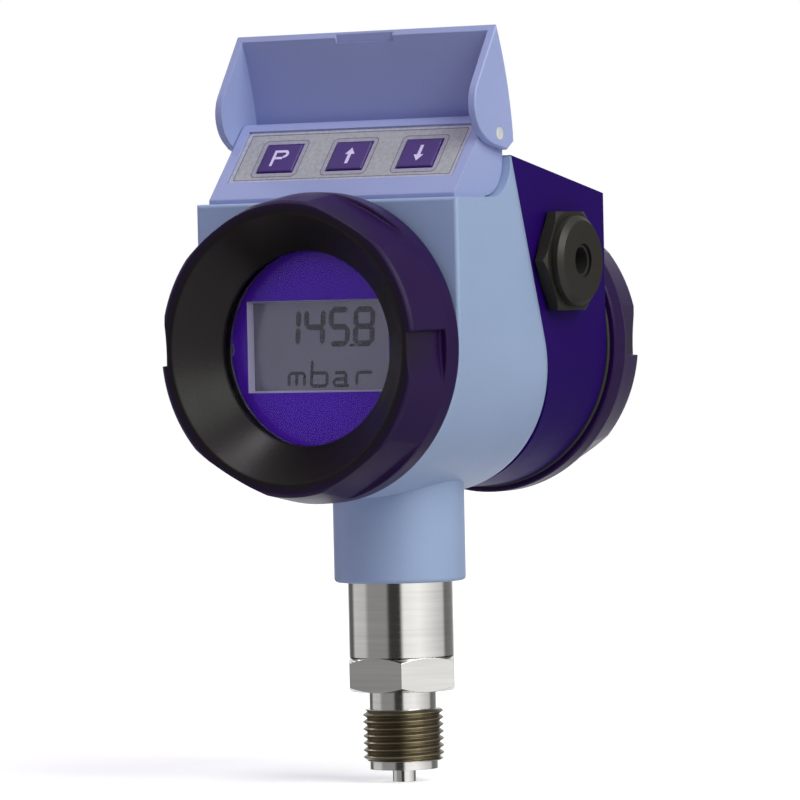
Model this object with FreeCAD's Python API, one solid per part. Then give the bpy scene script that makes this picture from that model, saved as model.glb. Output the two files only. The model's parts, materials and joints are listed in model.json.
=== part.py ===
"""Pressure transmitter: threaded steel process connection, swivelling two-piece housing with two
screw covers, window display, three-key operating head under a flip-up lid, and a cable gland.

Millimetres, +Z up. The origin is the centre of the process connection's sealing face, on the
thread axis. The display looks along -Y and the cable gland along +X."""
import math
import os

import FreeCAD, Part
from FreeCAD import Vector

os.makedirs("parts", exist_ok=True)

# ---- process connection, one turned piece
HEX_AF = 27.0
HEX_H = 8.9
HEX_EDGE = 1.1
THREAD_D = 20.955
THREAD_L = 13.45
THREAD_EDGE = 0.9
UNDERCUT_D = 17.3
UNDERCUT_L = 4.65
LAND_D = 17.6
LAND_L = 2.1
SPIGOT_D = 6.0
SPIGOT_L = 3.35
PORT_D = 3.0
BOSS_H = 5.1

# ---- sensor tube and the cell inside it
TUBE_D = 27.2
TUBE_WALL = 2.6
TUBE_TOP = 59.5
CELL_R = 9.0
CELL_H = 5.5
CELL_SEAL_R = 6.4
CELL_SEAL_WIRE = 0.8
CLAMP_WALL = 2.4
CLAMP_H = 16.5
SENSOR_BOARD_T = 1.6
LEAD_R = 1.5

# ---- swivel between tube and neck
SWIVEL_GAP = 0.05
SWIVEL_RING_Z = 40.0
SWIVEL_RING_WIRE = 0.65
CIRCLIP_T = 1.2
CIRCLIP_R = 16.3
CIRCLIP_GROOVE = 0.8
CIRCLIP_SEAT_Z = 55.0
CIRCLIP_SLOT = 5.0

# ---- housings
AXIS_Z = 88.9
FRONT_PROUD = 1.1
SIDE_WALL = 6.1
FRONT_FACE_Y = -33.5
REAR_FACE_Y = 45.3
FRONT_EDGE_R = 1.0
REAR_EDGE_R = 0.8
JOINT_Y = 12.4
JOINT_TILT = 18.4
JOINT_ROUND = 8.0
LEDGE_Z = 126.2
WALL_TOP_Z = 136.6
NOTCH_BACK_Y = -5.6
NOTCH_R = 9.6
REAR_TOP_Z = 136.9
REAR_TOP_TILT = 10.9
NECK_R = 17.0
NECK_BOTTOM_Z = 28.2
NECK_EDGE_R = 1.0
CAVITY_R = 31.5
INNER_R = 25.0
SHOULDER_Y = -8.0
PARTITION_T = 5.0
WIRE_HOLE_R = 4.0
WIRE_HOLE_Y = -21.0

# ---- screw covers
COLLAR_WALL = 4.42
COLLAR_L = 10.8
THREAD_FIT = 0.08
SEAL_GAP = 1.2
SEAL_INSET = 1.4
COVER_DEPTH = 19.3
BLIND_DEPTH = 17.0
SKIRT_WALL = 3.4
SKIRT_L = 5.3
FACE_TAPER = 2.2
FACE_EDGE = 0.8
LAND_W = 3.2
DISH_DEPTH = 10.0
BLIND_DISH = 7.7
LIP_T = 1.0
POCKET_Z = 10.6
FLOOR_T = 3.0
GRIP_SHOULDER = 0.8
GRIP_RECESSES = ((104.0, 142.0, 0.9, False), (166.0, 186.0, 1.7, True), (222.0, 260.0, 1.2, False))

# ---- window pack
GLASS_GAP = 0.2
GLASS_SEAT = 2.4
GLASS_T = 3.4
GASKET_T = 0.6
RETAINER_T = 0.8
BOSS_WALL = 3.2
BOSS_GAP = 1.1

# ---- display and electronics
BEZEL_Y = -37.8
BEZEL_T = 2.7
BEZEL_FIT = 0.3
LCD_W = 42.0
LCD_H = 23.3
LCD_RISE = 0.5
LCD_MARGIN = 1.6
LCD_T = 1.8
BOARD_T = 1.6
MODULE_FLAT = 25.0
MODULE_WALL = 1.8
MODULE_POST_R = 2.2
MODULE_POST_X = 22.0
MODULE_POST_L = 11.0
SCREW_M3_R = 1.5
SCREW_M3_HEAD_R = 2.75
SCREW_M3_HEAD_H = 1.8
DISPLAY_SCREW_EDGE = 3.6
DISPLAY_SCREW_L = 9.0
MAIN_BOARD_CHIPS = ((-9.0, -6.0, 14.0, 14.0, 2.2), (9.0, -12.0, 8.0, 10.0, 4.0),
                    (-17.0, 6.0, 7.0, 6.0, 3.0))

# ---- joint of the two housings
SCREW_M4_R = 2.0
SCREW_M4_HEAD_R = 3.5
SCREW_M4_HEAD_H = 4.0
HOUSING_SCREW_L = 16.0
HOUSING_SCREW_EDGE = 4.1
SPOT_GAP = 0.4
SPOT_SINK = 0.4
THREAD_GAP = 0.03
SCREW_TIP_GAP = 1.0
GASKET_INSET = 0.7
GASKET_W = 2.0
GASKET_H = 1.2
FEED_R = 7.0
FEED_FLANGE_R = 9.0
FEED_FLANGE_T = 2.0
FEED_L = 12.0
FEED_BOSS_R = 10.5
FEED_BOSS_Y = 21.4

# ---- terminals
POST_INSET = 7.5
POST_R = 3.2
POST_Y = 30.0
CARRIER_MARGIN = 3.5
CARRIER_H = 27.0
CARRIER_T = 2.5
CARRIER_DROP = 5.0
BLOCK_W = 34.0
BLOCK_H = 13.0
BLOCK_T = 9.0
TERMINALS = 4
TERMINAL_PITCH = 8.0
TERMINAL_HEAD_R = 2.4
TERMINAL_HEAD_H = 2.2
TERMINAL_SHANK_R = 1.2
TERMINAL_SLOT = 0.8
TERMINAL_WIRE_R = 1.9
TERMINAL_WIRE_L = 3.2

# ---- cable gland
GLAND_Y = 20.8
GLAND_Z = 109.85
GLAND_THREAD_R = 10.0
GLAND_THREAD_L = 11.0
GLAND_AF = 25.4
GLAND_HEX_T = 3.2
GLAND_GASKET_T = 0.8
GLAND_NECK_R = 8.2
GLAND_NECK_L = 2.2
GLAND_BORE_R = 5.6
GLAND_NUT_R = 11.6
GLAND_NUT_T = 3.0
GLAND_NUT_EDGE = 1.3
GLAND_MOUTH_R = 4.4
GLAND_CABLE_R = 3.5
GLAND_SEAL_L = 9.0

# ---- operating head and its lid
HINGE_Y = -11.0
HINGE_Z = 142.3
BARREL_R = 4.65
PANEL_TILT = 48.3
HEAD_INSET = 2.3
HEAD_FRONT_Y = -30.6
HEAD_WALL = 2.5
HEAD_GAP = 0.3
HEAD_EDGE_R = 0.6
PANEL_T = 3.0
HEAD_KNEE = 2.6
PLATE_MARGIN = 2.8
PLATE_TOP = 0.5
PLATE_H = 17.8
PLATE_SINK = 0.5
PLATE_T = 0.7
PLATE_CORNER_R = 0.8
KEY_W = 10.6
KEY_H = 9.6
KEY_PITCH = 20.8
KEY_DROP = 9.9
KEY_PROUD = 0.3
KEY_GAP = 0.3
KEY_EDGE = 0.5
KEY_FLANGE = 1.2
KEY_FLANGE_T = 1.1
KEY_REST_GAP = 0.05
KEY_TRAVEL = 0.6
SWITCH_H = 1.1
SWITCH_R = 2.6
KEY_BOARD_FIT = 2.4
KEY_BOARD_H = 11.6
KEY_BOARD_DROP = 10.2
KEY_POST_R = 1.7
KEY_POST_INSET = 2.2
SCREW_M2_R = 0.9
SCREW_M2_HEAD_R = 1.6
SCREW_M2_HEAD_H = 1.2
HEAD_SCREW_X = 14.0
HEAD_SCREW_Y = -13.0
HEAD_SCREW_SEAT = 28.8
HEAD_SCREW_L = 12.0
HEAD_BOSS_R = 3.2
HEAD_BOSS_TOP = 5.2
HEAD_BOSS_CAP = 1.2
LID_WING_T = 2.1
LID_WING_GAP = 0.3
LID_ROOF_T = 1.5
LID_OPEN = 123.8
LID_CLEAR = 0.3
LID_ROOF_RISE = 7.6
LID_ROOF_BACK = (-3.6, 6.4)
LID_ROOF_MID = 12.0
LID_ROOF_FRONT = (28.0, 6.1)
LID_REAR_Y = -6.1
LID_CORNER_R = 9.1
LID_HEEL = ((-6.1, 138.0), (-6.9, 141.2), (-9.6, 147.6))
LID_EDGE_R = 0.4
GRIP_W = 17.0
GRIP_H = 2.4
GRIP_CUT = 1.2
PIN_R = 1.2
PIN_HEAD_R = 1.7
PIN_HEAD_T = 0.8
PIN_L = 9.0
PIN_GAP = 0.05

X_AXIS, Y_AXIS, Z_AXIS = Vector(1, 0, 0), Vector(0, 1, 0), Vector(0, 0, 1)
REACH = AXIS_Z

JOINT_SLOPE = math.tan(math.radians(JOINT_TILT))
MOUTH_Y = FRONT_FACE_Y - SEAL_GAP
REAR_HALF_W = CAVITY_R + SIDE_WALL
FRONT_HALF_W = REAR_HALF_W + FRONT_PROUD
HEAD_HALF_W = FRONT_HALF_W - HEAD_INSET
PLATE_HALF_W = HEAD_HALF_W - PLATE_MARGIN
LID_HALF_W = HEAD_HALF_W + LID_WING_GAP + LID_WING_T
COLLAR_R = CAVITY_R + COLLAR_WALL
COVER_BORE_R = COLLAR_R + THREAD_FIT
SEAL_R = COVER_BORE_R + SEAL_INSET
SKIRT_R = COVER_BORE_R + SKIRT_WALL
FACE_R = SKIRT_R - FACE_TAPER
LAND_R = FACE_R - LAND_W
SEAT_R = CAVITY_R - BOSS_GAP - BOSS_WALL
GLASS_R = SEAT_R - GLASS_GAP
WINDOW_R = GLASS_R - GLASS_SEAT
GASKET_R = CAVITY_R + GASKET_INSET
LCD_Y = BEZEL_Y + BEZEL_T
BOARD_Y = LCD_Y + LCD_T
MODULE_Y = BOARD_Y + BOARD_T
LID_BOTTOM_Z = LEDGE_Z + LID_CLEAR
DISPLAY_SCREW_X = CAVITY_R - BEZEL_FIT - DISPLAY_SCREW_EDGE
HOUSING_SCREW_X = (CAVITY_R - HOUSING_SCREW_EDGE) * math.cos(math.radians(45))
POST_X = CAVITY_R - POST_INSET
CARRIER_W = 2 * (POST_X + CARRIER_MARGIN)
KEY_BOARD_W = 2 * (HEAD_HALF_W - HEAD_WALL - KEY_BOARD_FIT)


# ---- drawing helpers
def cyl(radius, length, base, direction):
    return Part.makeCylinder(radius, length, base, direction)


def ring(outer, inner, length, base, direction):
    return cyl(outer, length, base, direction).cut(cyl(inner, length, base, direction))


def box(x0, x1, y0, y1, z0, z1):
    return Part.makeBox(x1 - x0, y1 - y0, z1 - z0, Vector(x0, y0, z0))


def lathe(points):
    """Closed (r, z) outline turned about the local Z axis."""
    wire = Part.makePolygon([Vector(r, 0, z) for r, z in points + points[:1]])
    return Part.Face(wire).revolve(Vector(), Z_AXIS, 360)


def side_plate(edges, x0, x1):
    """Side outline in the YZ plane, given as edges at X = 0, extruded from x0 to x1."""
    face = Part.Face(Part.Wire(edges))
    face.translate(Vector(x0, 0, 0))
    return face.extrude(Vector(x1 - x0, 0, 0))


def yz(y, z):
    return Vector(0, y, z)


def line(a, b):
    return Part.LineSegment(a, b).toShape()


def lines(*points):
    return [line(a, b) for a, b in zip(points, points[1:])]


def arc(a, mid, b):
    return Part.Arc(a, mid, b).toShape()


def about(centre, radius, degrees):
    angle = math.radians(degrees)
    return yz(centre[0] + radius * math.cos(angle), centre[1] + radius * math.sin(angle))


def fuse(first, *others):
    return first.multiFuse(list(others)).removeSplitter()


def edges_where(shape, test):
    return [e for e in shape.Edges if test(e, e.BoundBox)]


def hexagon(across_flats, length, turn):
    radius = across_flats / math.sqrt(3)
    corners = [Vector(radius * math.cos(math.radians(turn + 60 * i)),
                      radius * math.sin(math.radians(turn + 60 * i)), 0) for i in range(7)]
    return Part.Face(Part.makePolygon(corners)).extrude(Vector(0, 0, length))


def chamfered_hexagon(across_flats, length, turn, edge, both_ends):
    corner = across_flats / math.sqrt(3)
    drop = edge * math.tan(math.radians(30))
    foot = [(corner - edge, 0), (corner, drop)] if both_ends else [(corner, 0)]
    cone = lathe([(0, 0)] + foot + [(corner, length - drop), (corner - edge, length), (0, length)])
    return hexagon(across_flats, length, turn).common(cone)


def facing_front(shape, y):
    """Local +Z becomes -Y and local +Y becomes +Z, on the cover axis."""
    placed = shape.copy()
    placed.rotate(Vector(), X_AXIS, 90)
    placed.translate(Vector(0, y, AXIS_Z))
    return placed


def facing_rear(shape, y):
    placed = facing_front(shape, 0)
    placed.rotate(Vector(), Z_AXIS, 180)
    placed.translate(Vector(0, y, 0))
    return placed


def facing_right(shape, x, y, z):
    """Local +Z becomes +X."""
    placed = shape.copy()
    placed.rotate(Vector(), Y_AXIS, 90)
    placed.translate(Vector(x, y, z))
    return placed


def on_panel(shape):
    """Local +Y climbs the operating panel and local +Z leaves it; the origin is its top line."""
    tilt = math.radians(PANEL_TILT)
    placed = shape.copy()
    placed.rotate(Vector(), X_AXIS, PANEL_TILT)
    placed.translate(Vector(0, HINGE_Y - BARREL_R * math.sin(tilt), HINGE_Z + BARREL_R * math.cos(tilt)))
    return placed


def panel_z(y, depth):
    """Height of the plane that lies depth below the panel, at the given y."""
    tilt = math.radians(PANEL_TILT)
    return HINGE_Z + (BARREL_R - depth + (y - HINGE_Y) * math.sin(tilt)) / math.cos(tilt)


def behind_joint(offset):
    """Everything behind the slanting joint of the two housings, offset along its normal."""
    block = box(-REACH, REACH, offset, offset + 2 * REACH, -REACH, REACH)
    block.rotate(Vector(), X_AXIS, JOINT_TILT)
    block.translate(Vector(0, JOINT_Y, AXIS_Z))
    return block


def joint_y(z):
    return JOINT_Y + JOINT_SLOPE * (AXIS_Z - z)


def capped_screw(radius, length, head_r, head_h):
    """Socket-free cap screw, head on +Z, seat at z = 0."""
    return fuse(cyl(radius, length, Vector(0, 0, -length), Z_AXIS), cyl(head_r, head_h, Vector(), Z_AXIS))


# ---- steel stem
def process_connection():
    hexagon_body = chamfered_hexagon(HEX_AF, HEX_H, 0, HEX_EDGE, True)
    thread_r, undercut_r, land_r, spigot_r = THREAD_D / 2, UNDERCUT_D / 2, LAND_D / 2, SPIGOT_D / 2
    top = -UNDERCUT_L
    end = top - THREAD_L
    stem = lathe([(0, 0), (undercut_r, 0), (undercut_r, top), (thread_r - THREAD_EDGE, top),
                  (thread_r, top - THREAD_EDGE), (thread_r, end + THREAD_EDGE), (land_r, end),
                  (land_r, end - LAND_L), (spigot_r, end - LAND_L), (spigot_r, end - LAND_L - SPIGOT_L),
                  (0, end - LAND_L - SPIGOT_L)])
    boss = cyl(TUBE_D / 2 - TUBE_WALL - THREAD_GAP, BOSS_H, Vector(0, 0, HEX_H), Z_AXIS)
    port = cyl(PORT_D / 2, REACH, Vector(0, 0, end - LAND_L - SPIGOT_L), Z_AXIS)
    return fuse(hexagon_body, stem, boss).cut(port)


CELL_FLOOR_Z = HEX_H + BOSS_H
CELL_Z = CELL_FLOOR_Z + 2 * CELL_SEAL_WIRE
CLAMP_Z = CELL_Z + CELL_H
SENSOR_BOARD_Z = CLAMP_Z + CLAMP_H
CIRCLIP_Z = CIRCLIP_SEAT_Z + SWIVEL_GAP
MODULE_BOTTOM_Z = AXIS_Z - MODULE_FLAT


def sensor_tube():
    outer = TUBE_D / 2
    tube = ring(outer, outer - TUBE_WALL, TUBE_TOP - HEX_H, Vector(0, 0, HEX_H), Z_AXIS)
    seal_z = SWIVEL_RING_Z - SWIVEL_RING_WIRE
    seal_w = 2 * SWIVEL_RING_WIRE
    seal_groove = ring(outer + 1, outer - seal_w, seal_w, Vector(0, 0, seal_z), Z_AXIS)
    clip_groove = ring(outer + 1, outer - CIRCLIP_GROOVE, CIRCLIP_T + 2 * SWIVEL_GAP,
                       Vector(0, 0, CIRCLIP_SEAT_Z), Z_AXIS)
    return tube.cut(seal_groove).cut(clip_groove)


def swivel_oring():
    middle = TUBE_D / 2 - SWIVEL_RING_WIRE
    return Part.makeTorus(middle, SWIVEL_RING_WIRE, Vector(0, 0, SWIVEL_RING_Z), Z_AXIS)


def swivel_circlip():
    inner = TUBE_D / 2 - CIRCLIP_GROOVE + SWIVEL_GAP
    clip = ring(CIRCLIP_R, inner, CIRCLIP_T, Vector(0, 0, CIRCLIP_Z), Z_AXIS)
    return clip.cut(box(-CIRCLIP_SLOT / 2, CIRCLIP_SLOT / 2, 0, REACH, 0, REACH))


def cell_seal():
    return Part.makeTorus(CELL_SEAL_R, CELL_SEAL_WIRE, Vector(0, 0, CELL_FLOOR_Z + CELL_SEAL_WIRE), Z_AXIS)


def sensor_cell():
    return cyl(CELL_R, CELL_H, Vector(0, 0, CELL_Z), Z_AXIS)


def cell_clamp():
    outer = TUBE_D / 2 - TUBE_WALL - THREAD_GAP
    return ring(outer, outer - CLAMP_WALL, CLAMP_H, Vector(0, 0, CLAMP_Z), Z_AXIS)


def sensor_board():
    return cyl(TUBE_D / 2 - TUBE_WALL - THREAD_GAP, SENSOR_BOARD_T, Vector(0, 0, SENSOR_BOARD_Z), Z_AXIS)


def sensor_lead():
    foot = SENSOR_BOARD_Z + SENSOR_BOARD_T
    return cyl(LEAD_R, MODULE_BOTTOM_Z - foot, Vector(0, 0, foot), Z_AXIS)


# ---- housings
def housing_block(half_width, y0, y1, top):
    """Flat top and sides, half-round bottom about the cover axis, extruded along Y."""
    left, right = Vector(-half_width, y0, AXIS_Z), Vector(half_width, y0, AXIS_Z)
    edges = [arc(left, Vector(0, y0, AXIS_Z - half_width), right)]
    edges += lines(right, Vector(half_width, y0, top), Vector(-half_width, y0, top), left)
    return Part.Face(Part.Wire(edges)).extrude(Vector(0, y1 - y0, 0))


def softened_front_block():
    """The sides and bottom roll in towards the joint, down to the width of the rear housing."""
    inset = FRONT_HALF_W - REAR_HALF_W
    run_out = JOINT_ROUND - math.sqrt(2 * JOINT_ROUND * inset - inset * inset)
    block = housing_block(FRONT_HALF_W, FRONT_FACE_Y, REAR_FACE_Y, WALL_TOP_Z).cut(behind_joint(run_out))
    rolled = edges_where(block, lambda e, b: b.YMax > SHOULDER_Y and b.YLength > 1
                         and not (b.XLength < 1e-3 and b.ZLength < 1e-3)
                         and not (b.ZMin > WALL_TOP_Z - 1e-3))
    block = block.makeFillet(JOINT_ROUND, rolled)
    return block.cut(behind_joint(0))


def notch():
    """Seat of the operating head: level ledge, round corner, upright back."""
    centre = (NOTCH_BACK_Y - NOTCH_R, LEDGE_Z + NOTCH_R)
    far_z = HINGE_Z + REACH
    edges = [line(yz(-REACH, LEDGE_Z), yz(centre[0], LEDGE_Z)),
             arc(yz(centre[0], LEDGE_Z), about(centre, NOTCH_R, -45), yz(NOTCH_BACK_Y, centre[1]))]
    edges += lines(yz(NOTCH_BACK_Y, centre[1]), yz(NOTCH_BACK_Y, far_z), yz(-REACH, far_z),
                   yz(-REACH, LEDGE_Z))
    return side_plate(edges, -REACH, REACH)


def screw_places():
    return [(sx * HOUSING_SCREW_X, AXIS_Z + sz * HOUSING_SCREW_X) for sx in (-1, 1) for sz in (-1, 1)]


def spot_y(z):
    """Seat plane of a housing screw, sunk flat into the slanting partition."""
    surface = joint_y(z + SCREW_M4_HEAD_R + SPOT_GAP) + PARTITION_T / math.cos(math.radians(JOINT_TILT))
    return surface - SPOT_SINK


def front_housing():
    block = softened_front_block().cut(notch())
    corner = edges_where(block, lambda e, b: b.YMax < FRONT_FACE_Y + 1e-3)
    block = block.makeFillet(FRONT_EDGE_R, corner)
    neck = cyl(NECK_R, AXIS_Z - INNER_R - NECK_BOTTOM_Z, Vector(0, 0, NECK_BOTTOM_Z), Z_AXIS)
    neck = neck.makeFillet(NECK_EDGE_R, edges_where(neck, lambda e, b: b.ZMax < NECK_BOTTOM_Z + 1e-3))
    collar = cyl(COLLAR_R, COLLAR_L, Vector(0, FRONT_FACE_Y, AXIS_Z), -Y_AXIS)
    body = fuse(block, neck, collar)
    mouth = FRONT_FACE_Y - COLLAR_L
    body = body.cut(cyl(CAVITY_R, SHOULDER_Y - mouth, Vector(0, mouth, AXIS_Z), Y_AXIS))
    body = body.cut(cyl(INNER_R, REACH, Vector(0, SHOULDER_Y, AXIS_Z), Y_AXIS))
    body = body.cut(cyl(TUBE_D / 2 + SWIVEL_GAP, AXIS_Z - NECK_BOTTOM_Z, Vector(0, 0, NECK_BOTTOM_Z), Z_AXIS))
    body = body.cut(cyl(NECK_R, AXIS_Z - CIRCLIP_SEAT_Z, Vector(0, 0, CIRCLIP_SEAT_Z), Z_AXIS))
    body = body.cut(cyl(WIRE_HOLE_R, LEDGE_Z - AXIS_Z, Vector(0, WIRE_HOLE_Y, AXIS_Z), Z_AXIS))
    for x, z in screw_places():
        depth = HOUSING_SCREW_L + SCREW_TIP_GAP
        body = body.cut(cyl(SCREW_M4_R + THREAD_GAP, depth, Vector(x, spot_y(z), z), -Y_AXIS))
    for x in (-HEAD_SCREW_X, HEAD_SCREW_X):
        seat = Vector(x, HEAD_SCREW_Y, AXIS_Z + HEAD_SCREW_SEAT)
        body = body.cut(cyl(SCREW_M3_R + THREAD_GAP, REACH, seat, Z_AXIS))
        body = body.cut(cyl(SCREW_M3_HEAD_R + SPOT_GAP, HEAD_SCREW_SEAT, seat, -Z_AXIS))
    return body


def rear_top():
    """Everything above the sloping top of the rear housing."""
    block = box(-REACH, REACH, -REACH, REACH, 0, REACH)
    block.rotate(Vector(), X_AXIS, -REAR_TOP_TILT)
    block.translate(Vector(0, joint_y(REAR_TOP_Z), REAR_TOP_Z))
    return block


def gasket_ring(radial_gap):
    outer, inner = GASKET_R + GASKET_W / 2 + radial_gap, GASKET_R - GASKET_W / 2 - radial_gap
    tube = ring(outer, inner, 2 * REACH, Vector(0, -REACH, AXIS_Z), Y_AXIS)
    return tube.common(behind_joint(0)).cut(behind_joint(GASKET_H))


def rear_housing():
    block = housing_block(REAR_HALF_W, -REACH / 2, REAR_FACE_Y, REAR_TOP_Z + REACH / 3).cut(rear_top())
    block = block.common(behind_joint(0))
    rim = edges_where(block, lambda e, b: b.YMin > REAR_FACE_Y - 1e-3)
    block = block.makeFillet(REAR_EDGE_R, rim)
    body = fuse(block, cyl(COLLAR_R, COLLAR_L, Vector(0, REAR_FACE_Y, AXIS_Z), Y_AXIS))
    cavity = cyl(CAVITY_R, 2 * REACH, Vector(0, -REACH, AXIS_Z), Y_AXIS).common(behind_joint(PARTITION_T))
    body = body.cut(cavity)
    inside = behind_joint(PARTITION_T / 2)
    boss = cyl(FEED_BOSS_R, FEED_BOSS_Y + REACH, Vector(0, -REACH, AXIS_Z), Y_AXIS).common(inside)
    posts = [cyl(POST_R, POST_Y + REACH, Vector(sx * POST_X, -REACH, AXIS_Z), Y_AXIS).common(inside)
             for sx in (-1, 1)]
    body = fuse(body, boss, *posts)
    body = body.cut(cyl(FEED_R + THREAD_GAP, 2 * REACH, Vector(0, -REACH, AXIS_Z), Y_AXIS))
    for sx in (-1, 1):
        mouth = Vector(sx * POST_X, POST_Y, AXIS_Z)
        body = body.cut(cyl(SCREW_M3_R + THREAD_GAP, DISPLAY_SCREW_L, mouth, -Y_AXIS))
    for x, z in screw_places():
        seat = spot_y(z)
        body = body.cut(cyl(SCREW_M4_R + THREAD_GAP, REACH, Vector(x, seat, z), -Y_AXIS))
        body = body.cut(cyl(SCREW_M4_HEAD_R + SPOT_GAP, SCREW_M4_HEAD_H + 2 * PARTITION_T,
                            Vector(x, seat, z), Y_AXIS))
    body = body.cut(gasket_ring(THREAD_GAP))
    return body.cut(cyl(GLAND_THREAD_R + THREAD_GAP, REAR_HALF_W - CAVITY_R / 2,
                        Vector(REAR_HALF_W, GLAND_Y, GLAND_Z), -X_AXIS))


def housing_gasket():
    return gasket_ring(0)


def housing_screws():
    screw = capped_screw(SCREW_M4_R, HOUSING_SCREW_L, SCREW_M4_HEAD_R, SCREW_M4_HEAD_H)
    screws = []
    for x, z in screw_places():
        placed = facing_rear(screw, spot_y(z))
        placed.translate(Vector(x, 0, z - AXIS_Z))
        screws.append(placed)
    return Part.makeCompound(screws)


def feedthrough():
    bush = cyl(FEED_R, FEED_L, Vector(0, FEED_BOSS_Y, AXIS_Z), -Y_AXIS)
    return fuse(bush, cyl(FEED_FLANGE_R, FEED_FLANGE_T, Vector(0, FEED_BOSS_Y, AXIS_Z), Y_AXIS))


# ---- screw covers, drawn with the mouth at z = 0 and the face at z = height
def cover_radius(z, height):
    return SKIRT_R + (FACE_R - SKIRT_R) * (z - SKIRT_L) / (height - SKIRT_L)


def grip_section(z, radius, start, end, depth, stepped):
    """Grip recess across the cover at height z: shallow arc, with a sharp step at its end or not."""

    def at(r, degrees):
        return Vector(r * math.cos(math.radians(degrees)), r * math.sin(math.radians(degrees)), z)

    middle, lift = (start + end) / 2, THREAD_GAP
    first, mid = at(radius + lift, start), at(radius - depth, middle)
    stop = at(radius - depth if stepped else radius + lift, end)
    clear = SKIRT_R + 5 * depth
    edges = [arc(first, mid, stop)]
    edges += lines(stop, at(clear, end), at(clear + depth, middle), at(clear, start), first)
    return Part.Wire(edges)


def gripped(cover, height):
    """Two-fold pattern of grip recesses, from a shoulder on the skirt out through the face."""
    for half_turn in (0, 180):
        for start, end, depth, stepped in GRIP_RECESSES:
            sections = [grip_section(z, cover_radius(z, height), start + half_turn, end + half_turn,
                                     depth, stepped)
                        for z in (SKIRT_L + GRIP_SHOULDER, height + FACE_EDGE)]
            cover = cover.cut(Part.makeLoft(sections, True, True))
    return cover


def cover_outside(height, dish):
    return [(COVER_BORE_R, 0), (SKIRT_R - FACE_EDGE / 2, 0), (SKIRT_R, FACE_EDGE / 2), (SKIRT_R, SKIRT_L),
            (cover_radius(height - FACE_EDGE, height), height - FACE_EDGE),
            (FACE_R - FACE_EDGE, height), (LAND_R, height), (WINDOW_R, height - dish)]


LIP_Z = COVER_DEPTH - DISH_DEPTH - LIP_T
GLASS_Z = LIP_Z - GASKET_T - GLASS_T
RETAINER_Z = GLASS_Z - RETAINER_T


def front_cover():
    boss_r = SEAT_R + BOSS_WALL
    profile = cover_outside(COVER_DEPTH, DISH_DEPTH)
    profile += [(WINDOW_R, LIP_Z), (SEAT_R, LIP_Z), (SEAT_R, RETAINER_Z), (boss_r, RETAINER_Z),
                (boss_r, POCKET_Z), (COVER_BORE_R, POCKET_Z)]
    return facing_front(gripped(lathe(profile), COVER_DEPTH), MOUTH_Y)


def rear_cover():
    floor = BLIND_DEPTH - BLIND_DISH
    profile = cover_outside(BLIND_DEPTH, BLIND_DISH)
    profile += [(0, floor), (0, floor - FLOOR_T), (WINDOW_R, floor - FLOOR_T),
                (WINDOW_R + BOSS_WALL, POCKET_Z), (COVER_BORE_R, POCKET_Z)]
    return facing_rear(gripped(lathe(profile), BLIND_DEPTH), REAR_FACE_Y + SEAL_GAP)


def cover_oring(placed, face_y, side):
    seal = Part.makeTorus(SEAL_R, SEAL_GAP / 2, Vector(), Z_AXIS)
    return placed(seal, face_y + side * SEAL_GAP / 2)


def window_gasket():
    gasket = ring(GLASS_R, WINDOW_R + GASKET_T, GASKET_T, Vector(0, 0, LIP_Z - GASKET_T), Z_AXIS)
    return facing_front(gasket, MOUTH_Y)


def window_glass():
    glass = cyl(GLASS_R, GLASS_T, Vector(0, 0, GLASS_Z), Z_AXIS)
    glass = glass.makeChamfer(GLASS_GAP, edges_where(glass, lambda e, b: b.ZLength < 1e-3))
    return facing_front(glass, MOUTH_Y)


def window_ring():
    clamp = ring(SEAT_R - THREAD_GAP, WINDOW_R + GASKET_T, RETAINER_T, Vector(0, 0, RETAINER_Z), Z_AXIS)
    return facing_front(clamp, MOUTH_Y)


# ---- display and electronics, stacked from the bezel back to the shoulder in the housing
def lcd_box(margin, y0, y1):
    half_w, half_h, zc = LCD_W / 2 + margin, LCD_H / 2 + margin, AXIS_Z + LCD_RISE
    return box(-half_w, half_w, y0, y1, zc - half_h, zc + half_h)


def display_bezel():
    disc = cyl(CAVITY_R - BEZEL_FIT, BEZEL_T + LCD_T, Vector(0, BEZEL_Y, AXIS_Z), Y_AXIS)
    view = lcd_box(0, BEZEL_Y, LCD_Y)
    seat = lcd_box(LCD_MARGIN, LCD_Y, BOARD_Y)
    disc = disc.cut(view).cut(seat)
    for sx in (-1, 1):
        mouth = Vector(sx * DISPLAY_SCREW_X, BEZEL_Y, AXIS_Z)
        disc = disc.cut(cyl(SCREW_M3_R + THREAD_GAP, REACH, mouth, Y_AXIS))
        disc = disc.cut(cyl(SCREW_M3_HEAD_R + THREAD_GAP, SCREW_M3_HEAD_H, mouth, Y_AXIS))
    return disc


def lcd_panel():
    return lcd_box(LCD_MARGIN - GLASS_GAP, LCD_Y, BOARD_Y)


def display_board():
    board = cyl(CAVITY_R - BEZEL_FIT, BOARD_T, Vector(0, BOARD_Y, AXIS_Z), Y_AXIS)
    for sx in (-1, 1):
        mouth = Vector(sx * DISPLAY_SCREW_X, BEZEL_Y, AXIS_Z)
        board = board.cut(cyl(SCREW_M3_R + THREAD_GAP, REACH, mouth, Y_AXIS))
    return board


def display_screws():
    screw = capped_screw(SCREW_M3_R, DISPLAY_SCREW_L, SCREW_M3_HEAD_R, SCREW_M3_HEAD_H)
    screws = []
    for sx in (-1, 1):
        placed = facing_front(screw, BEZEL_Y + SCREW_M3_HEAD_H)
        placed.translate(Vector(sx * DISPLAY_SCREW_X, 0, 0))
        screws.append(placed)
    return Part.makeCompound(screws)


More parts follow.
